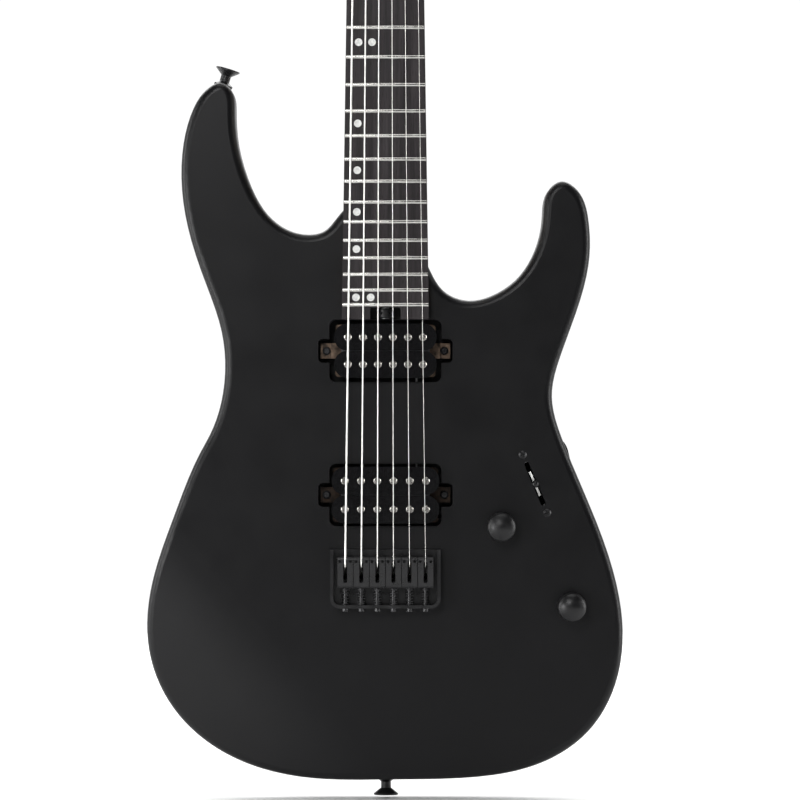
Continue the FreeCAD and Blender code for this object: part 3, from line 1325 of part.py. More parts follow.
lever = new_body("lever_blank")
blade = sketch_on(lever, "lever_blade", "YZ_Plane", -LEVER_THICKNESS / 2)
lever_middle = (d.switch_pivot_depth + LEVER_TAIL - LEVER_TOP) / 2
lever_length = d.switch_pivot_depth + LEVER_TAIL + LEVER_TOP
draw_rounded(blade, rectangle(lever_middle, 0, lever_length, LEVER_WIDTH), 1.2)
pad(lever, blade, LEVER_THICKNESS)
sector = sketch_on(lever, "lever_sector", "YZ_Plane", -LEVER_THICKNESS / 2)
sector_corners = [(d.switch_pivot_depth, -LEVER_WIDTH / 2)]
for angle in SECTOR_ANGLES:
    turn = math.radians(angle)
    depth = d.switch_pivot_depth - SECTOR_RADIUS * math.cos(turn)
    sector_corners.append((depth, SECTOR_RADIUS * math.sin(turn)))
sector_corners.append((d.switch_pivot_depth, LEVER_WIDTH / 2))
draw_polygon(sector, sector_corners)
pad(lever, sector, LEVER_THICKNESS)
bearing = sketch_on(lever, "lever_bearing", "YZ_Plane", -LEVER_THICKNESS)
draw_circle(bearing, d.switch_pivot_depth, 0, PIVOT_PIN_RADIUS + d.running_clearance)
pocket(lever, bearing, LEVER_THICKNESS * 2, reverse=True)
tip = turned("lever_tip", [
    (0, 0), (TIP_RADIUS - 0.4, 0), (TIP_RADIUS, 0.4),
    (TIP_RADIUS, TIP_LENGTH - TIP_DOME, dome_middle(TIP_RADIUS, TIP_LENGTH, TIP_DOME)), (0, TIP_LENGTH),
], facing(Vector(0, -4.6, 0), -Y_AXIS))
doc.recompute()
blade_shape = placed(lever, switch_frame)
group("switch_lever", [blade_shape, placed(tip, switch_frame).cut(blade_shape)])

switch_screw = pan_screw("switch_screw_master", 2.7, 1.5, 1.5, 9.6)
switch_screw.Placement = facing(Vector(), Y_AXIS)
switch_screw_frames = [
    switch_frame.multiply(shifted(Z_AXIS * (side * d.switch_screw_pitch.value / 2))) for side in (-1, 1)
]
switch_screw_seats = seats("switch_screws", switch_screw, switch_screw_frames)
fitted("switch_frame", frame_body, [switch_screw_seats])

# ---------------------------------------------------------------------------------------------------
# Control cavity cover, output socket, strap buttons and neck screws
# ---------------------------------------------------------------------------------------------------
CAVITY = [(66.0, -576.0), (114.0, -576.0), (141.0, -690.0), (131.0, -715.0), (56.0, -642.0)]
COVER_SCREW_INSET = 2.4


def grown(corners, margin):
    """The same polygon with every side moved outwards."""
    places = [Vector(x, z, 0) for x, z in corners]
    middle = sum(places, Vector()) / len(places)
    result = []
    for before, corner, after in zip(places[-1:] + places[:-1], places, places[1:] + places[:1]):
        arrive, leave = (before - corner).normalize(), (after - corner).normalize()
        half_turn = arrive.getAngle(leave) / 2
        outwards = -(arrive + leave).normalize()
        result.append(corner + outwards * (margin / math.sin(half_turn)))
    return [(place.x, place.y) for place in result]


cover_outline = grown(CAVITY, d.cover_lip.value)
cover_screw_places = [
    Vector(corner.x, 0, corner.y)
    for corner in (
        Vector(x, z, 0) for x, z in grown(CAVITY, COVER_SCREW_INSET - (d.control_corner.value * 0.32))
    )
]
cover_blank = new_body("cover_blank")
cover = sketch_on(cover_blank, "cover_outline", "XZ_Plane", BACK - d.cover_thickness)
draw_rounded(cover, cover_outline, d.control_corner + d.cover_lip)
pad(cover_blank, cover, d.cover_thickness, reverse=True)

JACK_PLACE = Vector(155.6, 22.0, -702.0)
JACK_PLATE_RADIUS, JACK_PLATE_THICKNESS, JACK_SEAT = 15.0, 1.6, 4.4
SLEEVE_RADIUS, SLEEVE_PROUD, SOCKET_RADIUS = 4.7, 2.6, 7.4
SOCKET_NUT_RADIUS, SOCKET_NUT_HEIGHT = 6.8, 2.0
plate_face = facing(JACK_PLACE + X_AXIS * (JACK_PLATE_THICKNESS - JACK_SEAT), -X_AXIS)
jack_plate_blank = turned("jack_plate_blank", [
    (SLEEVE_RADIUS, 0), (JACK_PLATE_RADIUS - 0.6, 0), (JACK_PLATE_RADIUS, 0.6),
    (JACK_PLATE_RADIUS, JACK_PLATE_THICKNESS), (SLEEVE_RADIUS, JACK_PLATE_THICKNESS),
], plate_face)
socket_body = turned("jack_socket_body", [
    (d.jack_bore_radius, -SLEEVE_PROUD), (SLEEVE_RADIUS, -SLEEVE_PROUD),
    (SLEEVE_RADIUS, JACK_PLATE_THICKNESS), (SOCKET_RADIUS, JACK_PLATE_THICKNESS),
    (SOCKET_RADIUS, d.jack_length), (d.jack_bore_radius, d.jack_length),
], plate_face)
socket_nut = turned("jack_nut", [
    (SLEEVE_RADIUS, -SOCKET_NUT_HEIGHT), (SOCKET_NUT_RADIUS, -SOCKET_NUT_HEIGHT), (SOCKET_NUT_RADIUS, 0),
    (SLEEVE_RADIUS, 0),
], plate_face)
group("jack_socket", [socket_body.Shape.copy(), socket_nut.Shape.copy()])

cover_screw = countersunk_screw("cover_screw_master", 2.9, 1.4, 11.0)
doc.recompute()
cover_screw_frames = [facing(place + Y_AXIS * BACK.value, -Y_AXIS) for place in cover_screw_places]
cover_screw_frames += [
    plate_face.multiply(shifted(Vector(side * 10.9, 0, 0))) for side in (-1, 1)
]
group("panel_screws", [placed(cover_screw, frame) for frame in cover_screw_frames] + [
    placed(switch_screw, frame) for frame in switch_screw_frames
])
cover_screw_seats = seats("panel_screws", cover_screw, cover_screw_frames)
fitted("control_cover", cover_blank, [cover_screw_seats])
fitted("jack_plate", jack_plate_blank, [cover_screw_seats])

# place on the body and outward direction of the two strap buttons
STRAP_BUTTONS = (
    (Vector(-107.0, 22.0, -340.9), Vector(0.287, 0, 0.958)),
    (Vector(0.3, 22.0, -796.6), Vector(0, 0, -1)),
)
STRAP_SINK = 0.6
WAIST_START, WAIST_END = 3.4, 7.4
strap_frames = [facing(place - direction * STRAP_SINK, direction) for place, direction in STRAP_BUTTONS]
strap_screw = countersunk_screw("strap_screw_master", 4.2, 2.0, 38.0)
strap_screw.Placement = facing(Z_AXIS * (d.strap_button_height.value + STRAP_SINK), -Z_AXIS)
copies("strap_screws", strap_screw, strap_frames)
strap_screw_seats = seats("strap_screws", strap_screw, strap_frames)
button_top = d.strap_button_height + STRAP_SINK
button_blank = turned("strap_button_blank", [
    (0, 0), (6.2, 0), (6.2, 1.4), (4.1, 2.6), (d.strap_waist_radius, WAIST_START),
    (d.strap_waist_radius, WAIST_END), (d.strap_flange_radius, button_top - 1.0),
    (d.strap_flange_radius, button_top - 0.3), (d.strap_flange_radius - 0.3, button_top), (0, button_top),
])
doc.recompute()
strap_buttons = group("strap_buttons", [
    placed(button_blank, frame).cut(strap_screw_seats.Shape.Solids) for frame in strap_frames
])
strap_button_seats = seats("strap_buttons", button_blank, strap_frames)

NECK_SCREWS = ((-17.0, -440.0), (17.0, -466.0), (-17.0, -484.0), (17.0, -485.0))
NECK_FERRULE_RADIUS, NECK_FERRULE_DEPTH = 7.0, 3.0
neck_screw = countersunk_screw("neck_screw_master", 4.6, 2.25, 41.0)
neck_screw.Placement = facing(Vector(0, BACK.value, 0), -Y_AXIS)
neck_frames = [shifted(Vector(x, 0, z)) for x, z in NECK_SCREWS]
copies("neck_screws", neck_screw, neck_frames)
neck_screw_seats = seats("neck_screws", neck_screw, neck_frames)
neck_ferrule = turned("neck_ferrule_master", [
    (0, 0), (NECK_FERRULE_RADIUS - 0.5, 0), (NECK_FERRULE_RADIUS, 0.5),
    (NECK_FERRULE_RADIUS, NECK_FERRULE_DEPTH),
    (0, NECK_FERRULE_DEPTH),
])
doc.recompute()
neck_ferrule.Placement = facing(Vector(0, BACK.value, 0), -Y_AXIS)
group("neck_ferrules", [
    placed(neck_ferrule, frame).cut(neck_screw_seats.Shape.Solids) for frame in neck_frames
])
neck_ferrule_seats = seats("neck_ferrules", neck_ferrule, neck_frames)

# ---------------------------------------------------------------------------------------------------
# Wiring: pickup leads, output lead and the tone capacitor
# ---------------------------------------------------------------------------------------------------
LEAD_RADIUS = 1.4
NECK_LEAD = [(21, 12.5, -521), (21, 12.5, -621), (33, 12.5, -622), (64, 22.4, -622), (76, 22.4, -627)]
BRIDGE_LEAD = [(14, 12.5, -606), (14, 12.5, -626), (33, 12.5, -626), (66, 23, -626), (77, 23, -634)]
OUTPUT_LEAD = [(84, 20, -638), (92, 24, -650), (104, 28, -676), (116, 24, -700), (125, 22, -702)]
LEADS = ((NECK_LEAD, 6.0), (BRIDGE_LEAD, 4.5), (OUTPUT_LEAD, 10.0))
wiring_shapes = [
    tube([Vector(*place) for place in places], [bend] * (len(places) - 2), LEAD_RADIUS)
    for places, bend in LEADS
]
wiring_shapes.append(Part.makeCylinder(3.2, 11.0, Vector(94, 11.5, -655), Vector(1, 0, -1)))
group("wiring", wiring_shapes)

# ---------------------------------------------------------------------------------------------------
# Cavities and bores of the body, then the seats of everything that is let into the wood
# ---------------------------------------------------------------------------------------------------
CAVITY_WIDTH, CAVITY_HEIGHT, CAVITY_CORNER = 73.4, 41.0, 4.5
EAR_WIDTH, EAR_HEIGHT, EAR_CORNER = 88.0, 15.6, 3.0
POCKET_REACH = 95.0
pocket_start = d.board_length - POCKET_REACH
neck_pocket = sketch_on(body, "neck_pocket", "XZ_Plane", -1)
draw_polygon(neck_pocket, [
    (-board_width(pocket_start) / 2, -pocket_start), (board_width(pocket_start) / 2, -pocket_start),
    (board_width(d.board_length) / 2, -d.board_length), (-board_width(d.board_length) / 2, -d.board_length),
])
pocket(body, neck_pocket, d.pocket_depth + 1)
for name, (centre, *_) in PICKUPS.items():
    for label, width, height, corner in (
        ("cavity", CAVITY_WIDTH, CAVITY_HEIGHT, CAVITY_CORNER), ("ears", EAR_WIDTH, EAR_HEIGHT, EAR_CORNER),
    ):
        rout = sketch_on(body, f"{name}_pickup_{label}", "XZ_Plane", -1)
        draw_rounded(rout, rectangle(0, -centre, width, height), corner)
        pocket(body, rout, d.pickup_cavity_depth + 1)
control = sketch_on(body, "control_cavity", "XZ_Plane", BACK + 1)
draw_rounded(control, CAVITY, d.control_corner)
pocket(body, control, BACK + 1 - d.control_top, reverse=True)
recess = sketch_on(body, "cover_recess", "XZ_Plane", BACK + 1)
draw_rounded(recess, cover_outline, d.control_corner + d.cover_lip)
pocket(body, recess, d.cover_thickness + 1, reverse=True)
for name, place in KNOBS.items():
    drill(body, f"{name}_hole", place - Y_AXIS, Y_AXIS, THREAD_RADIUS, d.control_top + 2)
drill(body, "lead_channel", Vector(21, 12.5, -530), -Z_AXIS, 3.0, 65.0)
drill(body, "side_channel", Vector(28, 10.9, -624), Vector(31.5, 10, 0), 4.6, 38.0)
drill(body, "jack_seat", JACK_PLACE - X_AXIS * JACK_SEAT, X_AXIS, JACK_PLATE_RADIUS, 6.0)
drill(body, "jack_bore", JACK_PLACE + X_AXIS, -X_AXIS, 8.6, 30.0)
for index in STRINGS:
    foot = Vector(bridge_across(index).value, -1, -string_hole_place.value)
    drill(body, f"body_string_hole_{index + 1}", foot, Y_AXIS, 1.6, BACK + 2)
    back_foot = foot + Y_AXIS * (BACK.value + 2)
    drill(body, f"ferrule_seat_{index + 1}", back_foot, -Y_AXIS, FERRULE_RADIUS, FERRULE_DEPTH + 1)
lever_slot = new_body("lever_slot_cutter")
slot_outline = sketch_on(lever_slot, "lever_slot_outline", "XZ_Plane", -1)
slot_corner = d.switch_slot_width / 2 - 0.02
draw_rounded(slot_outline, rectangle(0, 0, d.switch_slot_width, d.switch_slot_length), slot_corner)
pad(lever_slot, slot_outline, d.control_top + 2, reverse=True)
lever_slot.Placement = switch_frame
leg_screw_seats = [doc.getObject(f"{name}_leg_screws_seats") for name in PICKUPS]
fitted("body", body, leg_screw_seats + [
    lever_slot, ferrules, bridge_screw_seats, switch_screw_seats, strap_screw_seats, strap_button_seats,
    neck_screw_seats, neck_ferrule_seats, cover_screw_seats,
])
for index, frame in enumerate(tuner_frames):
    foot = frame.Base + Y_AXIS * (HEAD_FACE.value - 1)
    drill(neck_blank, f"bushing_hole_{index + 1}", foot, Y_AXIS, d.bushing_radius, d.head_thickness + 2)
fitted("neck", neck_blank, [neck_screw_seats, tuner_screw_seats])

# ---------------------------------------------------------------------------------------------------
# Checks and export
# ---------------------------------------------------------------------------------------------------
doc.recompute()
for item in doc.Objects:
    if "Invalid" in item.State or "Error" in item.State:
        raise RuntimeError(f"{item.Label} failed: {item.State}")
os.makedirs("parts", exist_ok=True)
for name, item in pieces.items():
    if item.Shape.isNull() or not item.Shape.isValid():
        raise RuntimeError(f"{name} has no valid shape")
    item.Shape.exportStep(f"parts/{name}.step")
    print(f"{name}: {len(item.Shape.Solids)} solids, {item.Shape.Volume:.0f} mm3")
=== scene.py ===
"""Looks of the electric guitar: a surface for every CAD piece, real coil springs and a plain studio."""
import json
import math

import bmesh
import bpy
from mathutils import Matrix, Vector


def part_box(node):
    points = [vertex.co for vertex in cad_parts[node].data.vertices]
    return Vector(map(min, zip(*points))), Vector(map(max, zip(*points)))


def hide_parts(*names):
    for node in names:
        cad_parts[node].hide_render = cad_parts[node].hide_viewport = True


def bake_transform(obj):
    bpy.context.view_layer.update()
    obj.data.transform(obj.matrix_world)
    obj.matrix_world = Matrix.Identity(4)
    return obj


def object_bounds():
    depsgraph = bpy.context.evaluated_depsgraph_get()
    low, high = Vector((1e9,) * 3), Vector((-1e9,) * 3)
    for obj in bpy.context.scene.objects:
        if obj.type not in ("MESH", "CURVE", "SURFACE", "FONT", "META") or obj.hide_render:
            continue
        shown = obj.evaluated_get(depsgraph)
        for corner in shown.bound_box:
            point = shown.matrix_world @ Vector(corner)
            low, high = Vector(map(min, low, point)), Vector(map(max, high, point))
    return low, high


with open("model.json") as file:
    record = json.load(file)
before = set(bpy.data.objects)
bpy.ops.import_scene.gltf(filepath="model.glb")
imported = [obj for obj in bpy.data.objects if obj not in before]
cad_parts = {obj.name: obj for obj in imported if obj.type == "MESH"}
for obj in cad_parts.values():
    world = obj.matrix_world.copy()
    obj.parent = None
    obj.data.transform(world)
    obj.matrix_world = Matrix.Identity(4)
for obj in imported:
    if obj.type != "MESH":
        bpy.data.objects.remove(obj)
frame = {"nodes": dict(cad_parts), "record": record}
cad_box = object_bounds()
NODES = frame["nodes"]
JOINTS = {joint["name"]: joint for joint in frame["record"]["behaviour"]["joints"]}
MM = 0.001


# ---------------------------------------------------------------------------------------------------
# Procedural surfaces, in object coordinates: one unit is a metre of the real thing
# ---------------------------------------------------------------------------------------------------
class Surface:
    """A Principled material and the nodes that vary it."""

    def __init__(self, name, color, roughness, metallic=0.0, **constants):
        self.material = bpy.data.materials.new(name)
        self.material.use_nodes = True
        tree = self.material.node_tree
        self.nodes, self.links = tree.nodes, tree.links
        self.shader = self.nodes["Principled BSDF"]
        self.shader.inputs["Base Color"].default_value = (*color, 1.0)
        self.shader.inputs["Roughness"].default_value = roughness
        self.shader.inputs["Metallic"].default_value = metallic
        for socket, value in constants.items():
            self.shader.inputs[socket.replace("_", " ")].default_value = value
        self.position = self.nodes.new("ShaderNodeTexCoord").outputs["Object"]

    def noise(self, size, detail=4.0, stretch=(1.0, 1.0, 1.0), roughness=0.55):
        """Cloudy variation whose features are size metres wide, times stretch along each axis."""
        mapping = self.nodes.new("ShaderNodeMapping")
        mapping.inputs["Scale"].default_value = [1.0 / (size * factor) for factor in stretch]
        self.links.new(self.position, mapping.inputs["Vector"])
        texture = self.nodes.new("ShaderNodeTexNoise")
        texture.inputs["Scale"].default_value = 1.0
        texture.inputs["Detail"].default_value = detail
        texture.inputs["Roughness"].default_value = roughness
        self.links.new(mapping.outputs["Vector"], texture.inputs["Vector"])
        return texture.outputs["Fac"]

    def bands(self, pitch, axis, distortion=0.0):
        """Smooth ridges a pitch apart along an axis."""
        wave = self.nodes.new("ShaderNodeTexWave")
        wave.bands_direction = axis
        wave.inputs["Scale"].default_value = math.pi / 10.0 / pitch
        wave.inputs["Distortion"].default_value = distortion
        self.links.new(self.position, wave.inputs["Vector"])
        return wave.outputs["Fac"]

    def coordinate(self, axis):
        """One coordinate of the surface point, in metres."""
        split = self.nodes.new("ShaderNodeSeparateXYZ")
        self.links.new(self.position, split.inputs["Vector"])
        return split.outputs[axis]

    def math(self, operation, first, second):
        """A Math node on two values, each a socket or a number."""
        node = self.nodes.new("ShaderNodeMath")
        node.operation = operation
        for socket, value in zip(node.inputs, (first, second)):
            if isinstance(value, bpy.types.NodeSocket):
                self.links.new(value, socket)
            else:
                socket.default_value = value
        return node.outputs["Value"]

    def ramp(self, factor, stops):
        """A colour for each level of the factor: stops are (level, colour)."""
        node = self.nodes.new("ShaderNodeValToRGB")
        points = node.color_ramp.elements
        for index, (level, color) in enumerate(stops):
            point = points[index] if index < len(points) else points.new(level)
            point.position = level
            point.color = (*color, 1.0)
        self.links.new(factor, node.inputs["Fac"])
        return node.outputs["Color"]

    def mix(self, factor, first, second):
        """Two colour sockets or colours mixed by a factor."""
        node = self.nodes.new("ShaderNodeMix")
        node.data_type = "RGBA"
        self.links.new(factor, node.inputs["Factor"])
        for socket, value in ((node.inputs[6], first), (node.inputs[7], second)):
            if isinstance(value, bpy.types.NodeSocket):
                self.links.new(value, socket)
            else:
                socket.default_value = (*value, 1.0)
        return node.outputs[2]

    def color(self, socket):
        self.links.new(socket, self.shader.inputs["Base Color"])

    def vary_roughness(self, factor, smooth, rough, low=0.35, high=0.65):
        node = self.nodes.new("ShaderNodeMapRange")
        node.inputs["From Min"].default_value = low
        node.inputs["From Max"].default_value = high
        node.inputs["To Min"].default_value = smooth
        node.inputs["To Max"].default_value = rough
        self.links.new(factor, node.inputs["Value"])
        self.links.new(node.outputs["Result"], self.shader.inputs["Roughness"])

    def bump(self, height, depth, strength=1.0):
        """Relief of the given depth in metres; several calls add up."""
        node = self.nodes.new("ShaderNodeBump")
        node.inputs["Strength"].default_value = strength
        node.inputs["Distance"].default_value = depth
        self.links.new(height, node.inputs["Height"])
        before = self.shader.inputs["Normal"].links
        if before:
            self.links.new(before[0].from_socket, node.inputs["Normal"])
        self.links.new(node.outputs["Normal"], self.shader.inputs["Normal"])


def shade(color, factor):
    """The colour made lighter or darker."""
    return tuple(min(1.0, channel * factor) for channel in color)


LACQUER = (0.0024, 0.0024, 0.0030)


def body_lacquer():
    """Satin black lacquer: fine orange peel, faint hand marks, soft sheen."""
    surface = Surface("body_lacquer", LACQUER, 0.38, Specular_IOR_Level=0.28)
    clouds = surface.noise(0.09, detail=3.0)
    surface.color(surface.ramp(clouds, [(0.3, shade(LACQUER, 0.85)), (0.7, shade(LACQUER, 1.2))]))
    surface.vary_roughness(surface.noise(0.03, detail=6.0), 0.36, 0.42)
    surface.bump(surface.noise(0.0022, detail=1.5), 0.000010)
    return surface


def neck_maple(face_level, face_start, notch_shade_start):
    """Oiled maple with long grain; the headstock's face wears black lacquer, and the neck's end in the
    adjuster's notch is coloured black as painted shade of the recess.
    """
    surface = Surface("neck_maple", (0.52, 0.33, 0.16), 0.45, Specular_IOR_Level=0.4)
    grain = surface.noise(0.0022, detail=5.0, stretch=(1.0, 1.0, 60.0))
    figure = surface.noise(0.02, detail=3.0, stretch=(1.0, 1.0, 3.0))
    wood = surface.ramp(grain, [
        (0.25, (0.40, 0.235, 0.105)), (0.55, (0.55, 0.35, 0.175)), (0.8, (0.62, 0.42, 0.22)),
    ])
    flecked = surface.ramp(figure, [(0.4, (0, 0, 0)), (0.7, (0.5, 0.5, 0.5))])
    shaded = surface.mix(flecked, wood, (0.42, 0.24, 0.11))
    in_front = surface.math("LESS_THAN", surface.coordinate("Y"), face_level)
    beyond_nut = surface.math("GREATER_THAN", surface.coordinate("Z"), face_start)
    # painted shade: the end of the neck in the adjuster's notch is coloured like the black lacquer, for the
    # shade in that recess
    in_notch_shade = surface.math("LESS_THAN", surface.coordinate("Z"), notch_shade_start)
    lacquer_and_notch_shade = surface.math("MAXIMUM", surface.math("MULTIPLY", in_front, beyond_nut), in_notch_shade)
    surface.color(surface.mix(lacquer_and_notch_shade, shaded, LACQUER))
    surface.vary_roughness(grain, 0.40, 0.52)
    surface.bump(grain, 0.000012)
    return surface


def ebony():
    """Oiled ebony: dark brown streaks and open pores along the neck."""
    surface = Surface("ebony", (0.036, 0.032, 0.034), 0.50, Specular_IOR_Level=0.2)
    streaks = surface.noise(0.0035, detail=6.0, stretch=(1.0, 1.0, 30.0))
    pores = surface.noise(0.00045, detail=2.0, stretch=(1.0, 1.0, 16.0))
    wood = surface.ramp(streaks, [
        (0.30, (0.014, 0.012, 0.013)), (0.52, (0.029, 0.025, 0.027)), (0.75, (0.050, 0.044, 0.047)),
    ])
    open_pore = surface.ramp(pores, [(0.30, (0.75, 0.75, 0.75)), (0.42, (0, 0, 0))])
    surface.color(surface.mix(open_pore, wood, (0.010, 0.008, 0.007)))
    surface.vary_roughness(streaks, 0.44, 0.56)
    surface.bump(pores, 0.00003, 0.5)
    return surface


def plated_black(name, lightness, roughness, grain_size, specular=0.5):
    """Black plating or oxide on metal: fine tooth, slight wear and finger marks."""
    color = (lightness, lightness, lightness * 1.06)
    surface = Surface(name, color, roughness, metallic=0.35, Specular_IOR_Level=specular)
    marks = surface.noise(0.006, detail=5.0)
    surface.color(surface.ramp(marks, [
        (0.35, shade(color, 0.8)), (0.62, shade(color, 1.15)), (0.8, shade(color, 1.7)),
    ]))
    surface.vary_roughness(marks, roughness - 0.05, roughness + 0.09)
    surface.bump(surface.noise(grain_size, detail=2.0), 0.000006)
    return surface


def bare_metal(name, color, roughness, stretch=(1.0, 1.0, 1.0), line=0.0004):
    """Bright metal with drawn or polished lines."""
    surface = Surface(name, color, roughness, metallic=1.0)
    lines = surface.noise(line, detail=3.0, stretch=stretch)
    tarnish = surface.noise(0.008, detail=4.0)
    surface.color(surface.ramp(tarnish, [(0.35, shade(color, 0.82)), (0.65, color)]))
    surface.vary_roughness(lines, roughness * 0.75, roughness * 1.35)
    surface.bump(lines, 0.000004)
    return surface


def moulded(name, color, roughness, grain_size, depth, **constants):
    """Moulded or tape-covered plastic with a fine texture."""
    surface = Surface(name, color, roughness, **constants)
    texture = surface.noise(grain_size, detail=2.5)
    clouds = surface.noise(0.02, detail=3.0)
    surface.color(surface.ramp(clouds, [(0.35, shade(color, 0.85)), (0.65, shade(color, 1.15))]))
    surface.vary_roughness(texture, roughness * 0.85, roughness * 1.15)
    surface.bump(texture, depth)
    return surface


def pearl():
    """White dots with a faint pearly cloud."""
    surface = Surface("dot_white", (0.80, 0.80, 0.78), 0.22, Coat_Weight=0.4)
    cloud = surface.noise(0.0016, detail=4.0)
    surface.color(surface.ramp(cloud, [(0.35, (0.68, 0.69, 0.68)), (0.65, (0.88, 0.88, 0.86))]))
    surface.vary_roughness(cloud, 0.18, 0.28)
    return surface


def tarnished_legs(dark_below):
    """Brown base plate metal with heat and handling stains; the plate of the bridge pickup is much darker."""
    surface = Surface("pickup_metal", (0.09, 0.055, 0.03), 0.38, metallic=0.8)
    stains = surface.noise(0.004, detail=6.0)
    brown = surface.ramp(stains, [
        (0.35, (0.05, 0.038, 0.030)), (0.6, (0.15, 0.105, 0.075)), (0.8, (0.24, 0.17, 0.125)),
    ])
    dark = surface.ramp(stains, [
        (0.35, (0.012, 0.009, 0.008)), (0.6, (0.030, 0.020, 0.014)), (0.8, (0.09, 0.05, 0.03)),
    ])
    at_bridge = surface.math("LESS_THAN", surface.coordinate("Z"), dark_below)
    surface.color(surface.mix(at_bridge, brown, dark))
    surface.vary_roughness(stains, 0.30, 0.50)
    surface.bump(surface.noise(0.0005, detail=2.0), 0.000006)
    return surface


def string_steel():
    """Bright drawn steel; faint winding bands run across the strings, with their grooves darkened in colour
    as painted shade.
    """
    surface = Surface("string_steel", (0.86, 0.85, 0.83), 0.36, metallic=1.0)
    winding_relief_and_shade = surface.bands(0.00042, "Z")
    # painted shade: the colour is darker in the grooves of the winding bands, following the bump
    surface.color(surface.ramp(winding_relief_and_shade, [(0.2, (0.80, 0.79, 0.76)), (0.8, (0.94, 0.93, 0.90))]))
    surface.vary_roughness(surface.noise(0.003), 0.32, 0.42)
    surface.bump(winding_relief_and_shade, 0.000006)
    return surface


def lever_finish(button_level):
    """Black button on a bare steel blade, which shows in the slot."""
    surface = Surface("lever_finish", (0.012, 0.012, 0.013), 0.34, metallic=0.5)
    marks = surface.noise(0.004, detail=4.0)
    on_blade = surface.math("GREATER_THAN", surface.coordinate("Y"), button_level)
    steel = surface.ramp(marks, [(0.35, (0.55, 0.55, 0.54)), (0.65, (0.75, 0.75, 0.73))])
    black = surface.ramp(marks, [(0.35, (0.010, 0.010, 0.011)), (0.65, (0.015, 0.015, 0.016))])
    surface.color(surface.mix(on_blade, black, steel))
    surface.vary_roughness(marks, 0.28, 0.40)
    surface.bump(surface.noise(0.0007, detail=2.0), 0.000006)
    return surface


# Where one piece changes its colour: the lacquer and the painted shade of the notch on the neck, between the
# two pickups, and on the lever
LACQUERED_DEPTH = 8.0 * MM
LACQUER_PAST_NUT = 0.5 * MM
# the painted shade of the notch covers the neck up to this far above the fingerboard's end
NOTCH_SHADE_LENGTH = 8.4 * MM
PICKUPS_APART = -560.0 * MM
LEVER_BUTTON_LEVEL = -4.6 * MM
headstock_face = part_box("neck")[0].y
nut_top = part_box("nut")[1].z
board_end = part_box("fingerboard")[0].z
SURFACES = {
    "body_lacquer": body_lacquer(),
    "neck_maple": neck_maple(
        headstock_face + LACQUERED_DEPTH, nut_top + LACQUER_PAST_NUT, board_end + NOTCH_SHADE_LENGTH,
    ),
    "ebony": ebony(),
    "fret_wire": bare_metal("fret_wire", (0.66, 0.65, 0.62), 0.22, (30.0, 1.0, 1.0)),
    "dot_white": pearl(),
    "nut_black": moulded("nut_black", (0.02, 0.02, 0.021), 0.38, 0.0008, 0.000006),
    "plain_steel": bare_metal("plain_steel", (0.42, 0.42, 0.43), 0.34, (1.0, 1.0, 20.0)),
    "hardware_black": plated_black("hardware_black", 0.014, 0.33, 0.0009),
    "pickup_metal": tarnished_legs(PICKUPS_APART),
    "bobbin_black": moulded(
        "bobbin_black", (0.006, 0.006, 0.0065), 0.14, 0.0030, 0.000010, Specular_IOR_Level=0.5,
    ),
    "coil_copper": moulded("coil_tape", (0.008, 0.008, 0.008), 0.5, 0.0006, 0.00003),
    "magnet_grey": moulded("magnet_grey", (0.08, 0.08, 0.085), 0.6, 0.0008, 0.00002),
    "pole_nickel": bare_metal("pole_nickel", (0.55, 0.53, 0.50), 0.22),
    "screw_dark": plated_black("screw_dark", 0.03, 0.30, 0.0007, specular=0.7),
    "string_steel": string_steel(),
    "knob_black": plated_black("knob_black", 0.012, 0.36, 0.0006),
    "saddle_black": plated_black("saddle_black", 0.016, 0.30, 0.0008),
    "cover_plastic": moulded("cover_plastic", (0.012, 0.012, 0.0125), 0.55, 0.0009, 0.00004),
    "wire_insulation": moulded("wire_insulation", (0.03, 0.03, 0.032), 0.42, 0.002, 0.00001),
}
for entry in frame["record"]["subparts"]:
    materials = NODES[entry["node"]].data.materials
    for index in range(len(materials)):
        materials[index] = SURFACES[entry["material_slot"]].material
NODES["switch_lever"].data.materials[0] = lever_finish(LEVER_BUTTON_LEVEL).material
# painted shade: the adjuster's steel wheel gets the black hardware finish, for the shade in its notch
NODES["truss_wheel"].data.materials[0] = SURFACES["hardware_black"].material


# ---------------------------------------------------------------------------------------------------
# Pieces made here
# ---------------------------------------------------------------------------------------------------
def tube_piece(name, slot, points, radius, sides):
    """A closed round tube along points, as one mesh."""
    mesh = bmesh.new()
    rings = []
    across = None
    for index, point in enumerate(points):
        ahead = points[min(index + 1, len(points) - 1)] - points[max(index - 1, 0)]
        along = ahead.normalized()
        if across is None:
            across = along.orthogonal().normalized()
        across = (across - along * across.dot(along)).normalized()
        other = along.cross(across)
        ring = []
        for step in range(sides):
            turn = 2 * math.pi * step / sides
            ring.append(mesh.verts.new(point + (across * math.cos(turn) + other * math.sin(turn)) * radius))
        rings.append(ring)
    for first, second in zip(rings, rings[1:]):
        for step in range(sides):
            after = (step + 1) % sides
            mesh.faces.new((first[step], first[after], second[after], second[step]))
    mesh.faces.new(reversed(rings[0]))
    mesh.faces.new(rings[-1])
    for face in mesh.faces:
        face.smooth = True
    data = bpy.data.meshes.new(name)
    mesh.to_mesh(data)
    mesh.free()
    data.materials.append(SURFACES[slot].material)
    piece = bpy.data.objects.new(name, data)
    bpy.context.scene.collection.objects.link(piece)
    return piece


SPRING_TURNS = 7
SPRING_STEPS = 20
SPRING_WIRE = 0.32 * MM
SPRING_OUTSIDE = 2.7 * MM
SPRING_SIDES = 8
END_TURNS = 1.0
CLOSED_PITCH = 2 * SPRING_WIRE * 1.05
STRING_COUNT = 6


